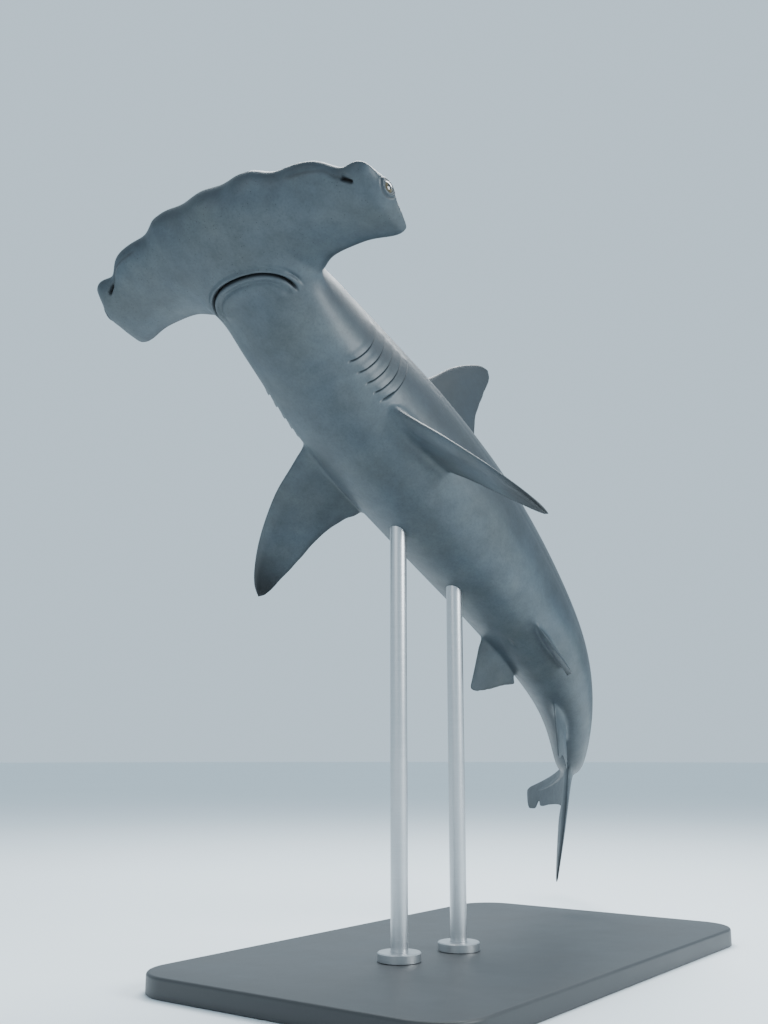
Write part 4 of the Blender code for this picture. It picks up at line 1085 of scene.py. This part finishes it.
def markings(points, normals, smooth_normals):
    """Values that steer the skin's colours: back to belly, dusky tips, side line, rays and pores."""
    s, angle = body_angle(points)
    up = smooth_normals[:, 2]
    shade = ease((up + 0.62) / 0.85)
    u = np.clip(np.abs(points[:, 1]) / TOTAL_LENGTH / HEAD_HALF, 0, 1)
    inset = np.minimum(s - through(u, FRONT_PLACES, FRONT_MARGIN), (1 - u) * HEAD_HALF)
    rear = through(np.maximum(u, REAR_PLACES[0]), REAR_PLACES, REAR_MARGIN) - s
    inset = np.where(u > REAR_PLACES[0] + 0.01, np.minimum(inset, rear), inset)
    inset = np.maximum(inset, 0) * TOTAL_LENGTH
    rim = ease((np.clip(up / 0.30, -1, 1) * inset + 24 * MM) / (40 * MM))
    blend = ease((s - 0.085) / 0.035) * ease((0.45 - u) / 0.10)
    shade = np.where(s < 0.125, rim * (1 - blend) + shade * blend, shade)
    around = np.arctan2(points[:, 2], -points[:, 0] - 0.735 * TOTAL_LENGTH)
    low_lobe = ease((math.radians(2) - around) / math.radians(30))
    tail_shade = 0.88 - 0.30 * low_lobe
    in_tail = ease((s - 0.712) / 0.040)
    shade = shade * (1 - in_tail) + tail_shade * in_tail
    dusk = np.zeros(len(points))
    ray = np.zeros(len(points))
    on_fin = np.zeros(len(points))
    for fin in fin_table():
        name = fin[0]
        out, chord, on = fin_place(points, fin)
        width = through(s, STATIONS, HALF_WIDTH)
        height = np.where(angle > 0, through(s, STATIONS, BACK), through(s, STATIONS, BELLY))
        up_share = (points[:, 2] / TOTAL_LENGTH - tail_rise(s)) / height
        excess = (np.hypot(points[:, 1] / TOTAL_LENGTH / width, up_share) - 1) * height * TOTAL_LENGTH
        amount = ease((excess - 6 * MM) / (30 * MM)) * on
        margin = ease((chord - 0.90) / 0.10)
        if name.startswith("pectoral"):
            own = np.where(normals[:, 2] > 0, 0.92, 0.0)
            tip = ease((out - 0.62) / 0.33) * np.where(normals[:, 2] > 0, 0.35, 0.95)
            dark = np.maximum(tip, 0.45 * margin * ease(out / 0.4))
        elif name.startswith("pelvic"):
            own = np.where(normals[:, 2] > 0, 0.7, 0.08)
            dark = 0.35 * margin
        elif name == "first_dorsal_fin":
            own = 0.92 + 0 * out
            dark = 0.30 * ease((out - 0.7) / 0.3) + 0.2 * margin
        elif name == "second_dorsal_fin":
            own = 0.85 + 0 * out
            dark = 0.55 * ease((out - 0.35) / 0.6)
        elif name == "anal_fin":
            own = 0.30 + 0 * out
            dark = 0.45 * ease((out - 0.35) / 0.6)
        elif name == "upper_lobe":
            own = shade
            dark = 0.45 * ease((out - 0.70) / 0.25) + 0.25 * margin
        else:
            own = shade
            dark = 0.80 * ease((out - 0.45) / 0.5)
        shade = shade * (1 - amount) + own * amount
        dusk = np.maximum(dusk, dark * amount)
        ray = np.where(on, chord, ray)
        on_fin = np.maximum(on_fin, amount * ease(out / 0.2))
    middle = 30 - 22 * ease((s - 0.14) / 0.35)
    line = bell(flank_angle(angle) - middle, 3.2) * ease((s - 0.13) / 0.03)
    line = line * ease((0.74 - s) / 0.05) * (1 - on_fin)
    pores = ease((0.105 - s) / 0.03) * np.maximum(ease((-up - 0.15) / 0.3), 0.6 * ease((0.045 - s) / 0.02))
    return {"shade": shade, "dusk": dusk, "ray": ray, "on_fin": on_fin, "side_line": line, "pores": pores}


def make_skin(scratch, target):
    """One skin over the whole animal."""
    body = smooth_body(scratch, "shark_skin", BODY_LEVELS)
    refine(body.data)
    points, normals = arrays(body.data)
    points = small_relief(points, normals)
    points, gill_slit_shade = gill_relief(points, normals)
    points, mouth_gap_shade = mouth_relief(points, normals)
    points, nostril_shade = nostril_relief(points, normals)
    set_points(body.data, points)
    # Painted shade of the gill slits, the mouth's gap and the nostrils
    dark = np.maximum(np.maximum(gill_slit_shade, mouth_gap_shade), nostril_shade)
    smooth_tree = KDTree(len(points))
    for i, point in enumerate(points):
        smooth_tree.insert(point, i)
    smooth_tree.balance()
    skin_tree = tree_of(body)[0]

    joins = bpy.data.collections.new("joins")
    for seed, fin in enumerate(fin_table()):
        loft(fin[0], joins, fin_rows(*fin, seed))
    fin_trees = [tree_of(thing) for thing in joins.objects]
    lids = [lid(side, joins) for side in (1, -1)]
    lid_trees = [tree_of(thing) for thing in lids]
    boolean(body, "UNION", joins)
    points, _ = arrays(body.data)
    seams = seam_points(points, skin_tree, fin_trees)
    lid_seams = seam_points(points, skin_tree, lid_trees)
    points = soften(body.data, points, seams, FILLET_REACH, FILLET_ROUNDS)
    points = soften(body.data, points, lid_seams, LID_REACH, LID_ROUNDS)
    set_points(body.data, points)
    points, mesh_normals = arrays(body.data)
    for side in (1, -1):
        from_rim, near = lid_place(points, side)
        upper = LID_FOLD_MIDDLE + LID_FOLD_SWING * lid_height(points, side)
        folds = relief(from_rim, LID_RIDGE) + relief(from_rim, LID_CREASE) * upper
        folds += relief(from_rim, LID_OUTER_FOLD) * upper
        points += mesh_normals * (folds * near * MM)[:, None]
    set_points(body.data, points)

    cuts = bpy.data.collections.new("cuts")
    for side in (1, -1):
        from_bmesh(eye_ball(side, EYE_RADIUS * TOTAL_LENGTH + SKIN_OFFSET, 64), "socket", cuts)
    boolean(body, "DIFFERENCE", cuts)

    points, mesh_normals = arrays(body.data)
    # Painted shade of the recesses, carried over from the straight skin
    recess_shade = np.zeros(len(points))
    source_normals = np.zeros((len(points), 3))
    for i, point in enumerate(points):
        _, k, gap = smooth_tree.find(point)
        source_normals[i] = normals[k]
        recess_shade[i] = dark[k] if gap < 6 * MM else 0.0
    # Painted shadow in the creases round each lid, added to the recess shade
    for side in (1, -1):
        from_rim, near = lid_place(points, side)
        recess_shade = np.maximum(recess_shade, relief(from_rim, *LID_SHADOWS) * near)
    values = markings(points, mesh_normals, source_normals)
    values["recess_shade"] = recess_shade
    for name, value in values.items():
        layer = body.data.attributes.new(name, "FLOAT", "POINT")
        layer.data.foreach_set("value", np.asarray(value, np.float32))
    rest = body.data.attributes.new("rest", "FLOAT_VECTOR", "POINT")
    rest.data.foreach_set("vector", points.astype(np.float32).ravel())
    set_points(body.data, posed(points))
    body.data.shade_smooth()
    body.data.set_sharp_from_angle(angle=math.radians(50))
    scratch.objects.unlink(body)
    target.objects.link(body)
    return body


def make_eye(side, label, target):
    """Eyeball with the values that draw its iris and pupil."""
    thing = from_bmesh(eye_ball(side, EYE_RADIUS * TOTAL_LENGTH, 64), "eyeball_" + label, target)
    points, _ = arrays(thing.data)
    outward, upward, ahead = eye_axes(side)
    offset = (points - eye_centre(side)) / (EYE_RADIUS * TOTAL_LENGTH)
    for name, axis in (("iris_x", ahead), ("iris_y", upward), ("iris_z", outward)):
        layer = thing.data.attributes.new(name, "FLOAT", "POINT")
        layer.data.foreach_set("value", (offset @ axis).astype(np.float32))
    set_points(thing.data, posed(points))
    thing.data.shade_smooth()
    return thing


def make_base(target):
    """Rounded plate with a fine bevel along its upper rim."""
    outline = []
    for cx, cy, first in ((1, 1, 0), (-1, 1, 90), (-1, -1, 180), (1, -1, 270)):
        for k in range(25):
            a = math.radians(first + 90 * k / 24)
            outline.append((cx * (BASE_WIDTH / 2 - BASE_CORNER), cy * (BASE_LENGTH / 2 - BASE_CORNER), a))
    levels = [(BASE_CORNER - 0.0015, 0.0), (BASE_CORNER, 0.0015)]
    for k in range(7):
        a = math.radians(90 * k / 6)
        levels.append((BASE_CORNER - BASE_RIM + BASE_RIM * math.cos(a),
                       BASE_THICKNESS - BASE_RIM + BASE_RIM * math.sin(a)))
    rings = []
    for radius, z in levels:
        rings.append([(x + radius * math.cos(a), y + radius * math.sin(a), z) for x, y, a in outline])
    return loft("stand_plate", target, rings)


def make_rod(label, station, skin_tree, target):
    """Round rod that ends in a saddle cut to the belly, a hair below it."""
    x, y, _ = posed([straight(station, 0.0, 0.0)])[0]
    foot = BASE_THICKNESS + GAP
    sides = 64
    turns = [2 * math.pi * k / sides for k in range(sides)]
    ring = [(ROD_RADIUS * math.cos(a), ROD_RADIUS * math.sin(a)) for a in turns]
    tops = []
    for dx, dy in ring:
        hit = skin_tree.ray_cast(Vector((x + dx, y + dy, foot)), Vector((0, 0, 1)))[0]
        tops.append(hit.z - 2 * GAP)
    rings = []
    for z in (foot, foot + 0.3):
        rings.append([(x + dx, y + dy, z) for dx, dy in ring])
    low = min(tops)
    rings.append([(x + dx, y + dy, low - 0.02) for dx, dy in ring])
    rings.append([(x + dx, y + dy, z) for (dx, dy), z in zip(ring, tops)])
    inner = 0.6
    mean = sum(tops) / sides
    rings.append([(x + dx * inner, y + dy * inner, mean + (z - mean) * inner - 0.001)
                  for (dx, dy), z in zip(ring, tops)])
    return loft("stand_rod_" + label + "_fine", target, rings)


def make_collar(label, station, target):
    """Turned collar with chamfered rims round the foot of a rod."""
    x, y, _ = posed([straight(station, 0.0, 0.0)])[0]
    foot = BASE_THICKNESS + GAP
    top = foot + COLLAR_HEIGHT
    chamfer = 0.002
    bore = ROD_RADIUS + GAP
    profile = [(bore, foot), (bore, top - chamfer / 2), (bore + chamfer / 2, top),
               (COLLAR_RADIUS - chamfer, top), (COLLAR_RADIUS, top - chamfer),
               (COLLAR_RADIUS, foot + chamfer / 2), (COLLAR_RADIUS - chamfer / 2, foot)]
    work = bmesh.new()
    sides = 72
    rows = []
    for k in range(sides):
        a = 2 * math.pi * k / sides
        rows.append([work.verts.new((x + r * math.cos(a), y + r * math.sin(a), z)) for r, z in profile])
    for k, a in enumerate(rows):
        b = rows[(k + 1) % sides]
        for i in range(len(profile)):
            m = (i + 1) % len(profile)
            work.faces.new((a[i], a[m], b[m], b[i]))
    bmesh.ops.recalc_face_normals(work, faces=work.faces)
    return from_bmesh(work, "stand_collar_" + label + "_fine", target)


class Finish:
    """Material being put together node by node."""

    def __init__(self, name):
        self.material = bpy.data.materials.new(name)
        self.material.use_nodes = True
        self.tree = self.material.node_tree
        self.shader = self.tree.nodes["Principled BSDF"]

    def feed(self, socket, value):
        """Set a socket, or link it when the value is another node's socket."""
        if isinstance(value, bpy.types.NodeSocket):
            self.tree.links.new(value, socket)
        else:
            socket.default_value = value

    def add(self, kind, settings=None, **inputs):
        """New node with its settings and named inputs."""
        node = self.tree.nodes.new("ShaderNode" + kind)
        for key, value in (settings or {}).items():
            setattr(node, key, value)
        for key, value in inputs.items():
            self.feed(node.inputs[key.replace("_", " ")], value)
        return node

    def value(self, name):
        """Named value painted on the mesh."""
        return self.add("Attribute", {"attribute_name": name}).outputs["Fac"]

    def math(self, operation, a, b=0.0, c=0.0, clamp=False):
        """Arithmetic on numbers."""
        node = self.add("Math", {"operation": operation, "use_clamp": clamp})
        for socket, value in zip(node.inputs, (a, b, c)):
            self.feed(socket, value)
        return node.outputs[0]

    def mix(self, factor, a, b, blend="MIX"):
        """Blend of two colours."""
        node = self.add("Mix", {"data_type": "RGBA", "blend_type": blend})
        for index, value in ((0, factor), (6, a), (7, b)):
            self.feed(node.inputs[index], value)
        return node.outputs[2]

    def ramp(self, factor, stops):
        """Colours along a factor."""
        node = self.add("ValToRGB")
        self.feed(node.inputs[0], factor)
        elements = node.color_ramp.elements
        while len(elements) < len(stops):
            elements.new(0.5)
        for element, (position, colour) in zip(elements, stops):
            element.position = position
            element.color = (*colour, 1.0)
        return node.outputs[0]

    def noise(self, vector, scale, detail=4.0, roughness=0.55):
        """Cloudy pattern from 0 to 1."""
        return self.add("TexNoise", None, Vector=vector, Scale=scale, Detail=detail,
                        Roughness=roughness).outputs["Fac"]

    def bump(self, height, distance, strength=1.0, under=None):
        """Relief from a height pattern, laid over an earlier one."""
        node = self.add("Bump", None, Height=height, Distance=distance, Strength=strength)
        if under is not None:
            self.tree.links.new(under, node.inputs["Normal"])
        return node.outputs["Normal"]

    def set(self, **inputs):
        """Inputs of the surface shader."""
        for key, value in inputs.items():
            self.feed(self.shader.inputs[key.replace("_", " ")], value)
        return self.material


def skin_finish():
    """Moist hide with fine denticles, dark above and pale below."""
    f = Finish("shark_hide")
    rest = f.add("Attribute", {"attribute_name": "rest"}).outputs["Vector"]
    broad = f.noise(rest, 5.0, 5.0, 0.6)
    mottle = f.noise(rest, 38.0, 5.0, 0.65)
    fine = f.noise(rest, 210.0, 3.0, 0.6)
    shade = f.value("shade")
    middle = f.math("MULTIPLY", f.math("MULTIPLY", shade, f.math("SUBTRACT", 1.0, shade)), 4.0)
    middle = f.math("ADD", middle, 0.18, clamp=True)
    change = f.math("MULTIPLY_ADD", f.math("SUBTRACT", broad, 0.5), 0.50,
                    f.math("MULTIPLY", f.math("SUBTRACT", mottle, 0.5), 0.30))
    shade = f.math("MULTIPLY_ADD", change, middle, shade, clamp=True)
    # Back to belly tones: the paler belly under a dark back is the animal's own countershading, but every
    # stop, the belly's most, is painted far darker than its real white belly, as painted shade of an
    # underside lit from above and behind
    colour = f.ramp(shade, [(0.0, (0.060, 0.075, 0.086)), (0.22, (0.048, 0.062, 0.073)),
                            (0.45, (0.030, 0.042, 0.052)), (0.75, (0.018, 0.026, 0.034)),
                            (1.0, (0.013, 0.019, 0.025))])
    clouds = f.ramp(f.noise(rest, 14.0, 6.0, 0.72), [(0.30, (0.66, 0.67, 0.68)), (0.50, (0.98, 0.98, 0.98)),
                                                     (0.70, (1.34, 1.32, 1.28))])
    colour = f.mix(0.8, colour, clouds, "MULTIPLY")
    drawn = f.add("Mapping", None, Vector=rest, Scale=(1.6, 80.0, 64.0),
                  Rotation=(0.1, 0.22, 0.16)).outputs[0]
    scratch = f.math("ABSOLUTE", f.math("SUBTRACT", f.noise(drawn, 1.0, 3.0, 0.6), 0.62))
    scratch = f.math("MULTIPLY", f.math("SUBTRACT", 0.008, scratch, clamp=True), 90.0, clamp=True)
    scratch = f.math("MULTIPLY", scratch, f.math("SUBTRACT", broad, 0.48, clamp=True))
    colour = f.mix(scratch, colour, (0.150, 0.175, 0.190, 1.0))
    speckle = f.math("MULTIPLY", f.math("SUBTRACT", fine, 0.45, clamp=True), 0.7)
    colour = f.mix(speckle, colour, (0.008, 0.011, 0.014, 1.0))
    warm = f.ramp(f.noise(rest, 9.0, 3.0, 0.5), [(0.35, (0.94, 0.99, 1.03)), (0.68, (1.05, 1.01, 0.95))])
    colour = f.mix(1.0, colour, warm, "MULTIPLY")
    colour = f.mix(f.value("dusk"), colour, (0.005, 0.007, 0.009, 1.0))
    colour = f.mix(f.math("MULTIPLY", f.value("side_line"), 0.40), colour, (0.016, 0.022, 0.028, 1.0))
    cells = f.add("TexVoronoi", {"feature": "F1"}, Vector=rest, Scale=125.0, Randomness=0.9)
    clusters = f.math("GREATER_THAN", f.noise(rest, 16.0, 2.0), 0.44)
    near_pore = f.math("LESS_THAN", cells.outputs["Distance"], 0.105)
    dot = f.math("MULTIPLY", f.math("MULTIPLY", near_pore, clusters), f.value("pores"))
    colour = f.mix(f.math("MULTIPLY", dot, 0.8), colour, (0.010, 0.011, 0.012, 1.0))
    # Painted shade in the recesses: gill slits, mouth gap, nostrils, grooves and lid creases
    colour = f.mix(f.value("recess_shade"), colour, (0.010, 0.007, 0.007, 1.0))
    roughness = f.math("MULTIPLY_ADD", mottle, 0.18, 0.40)
    roughness = f.math("MULTIPLY_ADD", f.value("recess_shade"), 0.2, roughness, clamp=True)
    denticles = f.add("TexVoronoi", {"feature": "F1"}, Vector=rest, Scale=620.0).outputs["Distance"]
    normal = f.bump(denticles, 0.0003, 0.4)
    normal = f.bump(f.noise(rest, 120.0, 4.0, 0.6), 0.0004, 0.6, normal)
    normal = f.bump(f.noise(rest, 24.0, 3.0, 0.5), 0.0012, 0.4, normal)
    rays = f.math("SINE", f.math("MULTIPLY_ADD", mottle, 6.0, f.math("MULTIPLY", f.value("ray"), 170.0)))
    rays = f.math("MULTIPLY", f.math("MULTIPLY", rays, f.value("on_fin")), broad)
    normal = f.bump(rays, 0.0001, 0.25, normal)
    holes = f.math("SUBTRACT", f.math("MULTIPLY", dot, -1.0), f.value("side_line"))
    normal = f.bump(holes, 0.0010, 0.6, normal)
    return f.set(Base_Color=colour, Roughness=roughness, Normal=normal, Coat_Weight=0.10,
                 Coat_Roughness=0.25, IOR=1.42)


def eye_finish():
    """Wet dark eye with an upright pupil and a dull bronze iris."""
    f = Finish("shark_eye")
    x = f.value("iris_x")
    y = f.value("iris_y")
    ring = f.math("SQRT", f.math("ADD", f.math("MULTIPLY", x, x), f.math("MULTIPLY", y, y)))
    oval = f.math("SQRT", f.math("ADD", f.math("MULTIPLY", f.math("MULTIPLY", x, x), 3.2),
                                f.math("MULTIPLY", y, y)))
    place = f.add("CombineXYZ", None, X=f.math("MULTIPLY", f.math("ARCTAN2", y, x), 3.0), Y=ring).outputs[0]
    streaks = f.noise(place, 9.0, 4.0, 0.6)
    iris = f.ramp(streaks, [(0.3, (0.026, 0.020, 0.010)), (0.7, (0.115, 0.086, 0.040))])
    limbus = f.math("MULTIPLY", f.math("SUBTRACT", ring, 0.60), 9.0, clamp=True)
    iris = f.mix(limbus, iris, (0.006, 0.006, 0.006, 1.0))
    edge = f.math("MULTIPLY", f.math("SUBTRACT", 0.50, oval), 14.0, clamp=True)
    colour = f.mix(edge, iris, (0.002, 0.002, 0.003, 1.0))
    normal = f.bump(f.noise(place, 30.0, 2.0), 0.0001, 0.2)
    return f.set(Base_Color=colour, Roughness=f.math("MULTIPLY_ADD", streaks, 0.05, 0.06), Normal=normal,
                 Specular_IOR_Level=0.25, Coat_Weight=0.6, Coat_Roughness=0.03)


def plate_finish():
    """Dark satin powder coat with a fine orange peel."""
    f = Finish("stand_powder_coat")
    where = f.add("TexCoord").outputs["Object"]
    cloud = f.noise(where, 7.0, 4.0)
    grain = f.noise(where, 900.0, 2.0)
    colour = f.mix(cloud, (0.020, 0.021, 0.023, 1.0), (0.034, 0.035, 0.037, 1.0))
    dust = f.math("MULTIPLY", f.math("GREATER_THAN", f.noise(where, 260.0, 2.0), 0.70), 0.25)
    colour = f.mix(dust, colour, (0.16, 0.16, 0.16, 1.0))
    normal = f.bump(grain, 0.00025, 0.6)
    return f.set(Base_Color=colour, Roughness=f.math("MULTIPLY_ADD", cloud, 0.20, 0.34), Normal=normal)


def steel_finish():
    """Steel brushed round its length."""
    f = Finish("stand_brushed_steel")
    where = f.add("TexCoord").outputs["Object"]
    stretched = f.add("Mapping", None, Vector=where, Scale=(14.0, 14.0, 900.0)).outputs[0]
    strokes = f.noise(stretched, 1.0, 5.0, 0.7)
    cloud = f.noise(where, 10.0, 4.0)
    colour = f.mix(strokes, (0.46, 0.465, 0.475, 1.0), (0.62, 0.625, 0.63, 1.0))
    roughness = f.math("MULTIPLY_ADD", cloud, 0.14, f.math("MULTIPLY_ADD", strokes, 0.16, 0.20))
    normal = f.bump(strokes, 0.00012, 0.5)
    return f.set(Base_Color=colour, Roughness=roughness, Normal=normal, Metallic=1.0)


def floor_finish():
    """Pale matt studio floor."""
    f = Finish("studio_floor")
    where = f.add("TexCoord").outputs["Object"]
    cloud = f.noise(where, 0.8, 3.0)
    colour = f.mix(cloud, (0.78, 0.83, 0.86, 1.0), (0.82, 0.87, 0.90, 1.0))
    return f.set(Base_Color=colour, Roughness=0.85)


def dress(thing, finish, slot, *nodes):
    """Give a piece its material, its place on the part and the nodes that it stands for."""
    thing.data.materials.clear()
    thing.data.materials.append(finish)
    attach(thing, "root")
    if nodes:
        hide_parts(*nodes)


# Camera and light
SENSOR_WIDTH = 36.0
FRAME_HEIGHT = 1024
CAMERA_PLACE = (1.3898, -2.1998, 0.4608)
CAMERA_VIEW = (-0.5811, 0.7868, 0.2079)
CAMERA_UP = (0.1235, -0.1672, 0.9781)
FOCAL_PIXELS = 1116.39
# Each light's name, place, target, size, power and colour
LIGHTS = (
    ("top", (-0.7, 1.3, 4.2), (0, -0.1, 0.9), 2.6, 300.0, (0.93, 0.98, 1.0)),
    ("side", (3.4, 0.6, 2.2), (0, -0.2, 1.0), 1.6, 150.0, (0.90, 0.97, 1.0)),
    ("front", (0.2, -4.0, 2.4), (0, 0, 0.9), 2.4, 22.0, (0.95, 0.98, 1.0)),
)
FLOOR_RADII = (0.001, 1.5, 4.0, 9.0, 40.0)
FLOOR_HEIGHT = -0.001


def make_camera():
    """Camera low before the animal's left shoulder, looking up at it."""
    data = bpy.data.cameras.new("camera")
    data.sensor_width = SENSOR_WIDTH
    data.lens = FOCAL_PIXELS * SENSOR_WIDTH / FRAME_HEIGHT
    camera = bpy.data.objects.new("camera", data)
    bpy.context.scene.collection.objects.link(camera)
    view = Vector(CAMERA_VIEW).normalized()
    right = view.cross(Vector(CAMERA_UP)).normalized()
    up = right.cross(view)
    turn = Matrix((right, up, -view)).transposed().to_4x4()
    camera.matrix_world = Matrix.Translation(CAMERA_PLACE) @ turn
    bpy.context.scene.camera = camera


def make_stage():
    """Wide pale floor."""
    work = bmesh.new()
    rings = []
    sides = 96
    turns = [2 * math.pi * k / sides for k in range(sides)]
    for radius in FLOOR_RADII:
        rings.append([work.verts.new((radius * math.cos(a), radius * math.sin(a), FLOOR_HEIGHT))
                      for a in turns])
    for a, b in zip(rings, rings[1:]):
        for k in range(sides):
            m = (k + 1) % sides
            work.faces.new((a[k], b[k], b[m], a[m]))
    floor = from_bmesh(work, "studio_floor", bpy.context.scene.collection)
    floor.data.materials.append(floor_finish())


def add_light(name, place, target, size, power, colour):
    """Soft square light aimed at a point."""
    data = bpy.data.lights.new(name, "AREA")
    data.shape = "SQUARE"
    data.size = size
    data.energy = power
    data.color = colour
    lamp = bpy.data.objects.new(name, data)
    bpy.context.scene.collection.objects.link(lamp)
    lamp.location = place
    lamp.rotation_euler = (Vector(target) - Vector(place)).to_track_quat("-Z", "Y").to_euler()


def make_light():
    """Soft studio light that falls mostly from above and behind, with a weaker one in front."""
    world = bpy.data.worlds.new("studio")
    world.use_nodes = True
    background = world.node_tree.nodes["Background"]
    background.inputs["Color"].default_value = (0.66, 0.84, 0.97, 1.0)
    background.inputs["Strength"].default_value = 1.0
    bpy.context.scene.world = world
    for light in LIGHTS:
        add_light(*light)


def main():
    """Build every piece, then light and frame it."""
    pieces = bpy.data.collections.new("dressed_shark")
    bpy.context.scene.collection.children.link(pieces)
    scratch = bpy.data.collections.new("scratch")
    bpy.context.scene.collection.children.link(scratch)
    make_camera()
    skin = make_skin(scratch, pieces)
    dress(skin, skin_finish(), "skin", "head", "trunk", "tail", "caudal_fin", "first_dorsal_fin",
          "second_dorsal_fin", "anal_fin", "pectoral_fin_left", "pectoral_fin_right", "pelvic_fin_left",
          "pelvic_fin_right")
    eye_look = eye_finish()
    for side, label in ((1, "left"), (-1, "right")):
        dress(make_eye(side, label, pieces), eye_look, "eye", "eye_" + label)
    steel = steel_finish()
    plate = make_base(pieces)
    plate.data.shade_smooth()
    plate.data.set_sharp_from_angle(angle=math.radians(40))
    dress(plate, plate_finish(), "stand_plate", "stand_base")
    skin_tree = tree_of(skin)[0]
    for label, station in ROD_STATIONS.items():
        for thing, node in ((make_rod(label, station, skin_tree, pieces), "stand_rod_" + label),
                            (make_collar(label, station, pieces), "stand_collar_" + label)):
            thing.data.shade_smooth()
            thing.data.set_sharp_from_angle(angle=math.radians(35))
            dress(thing, steel, "stand_steel", node)
    for thing in list(scratch.objects):
        bpy.data.objects.remove(thing)
    bpy.data.collections.remove(scratch)
    make_stage()
    make_light()


main()
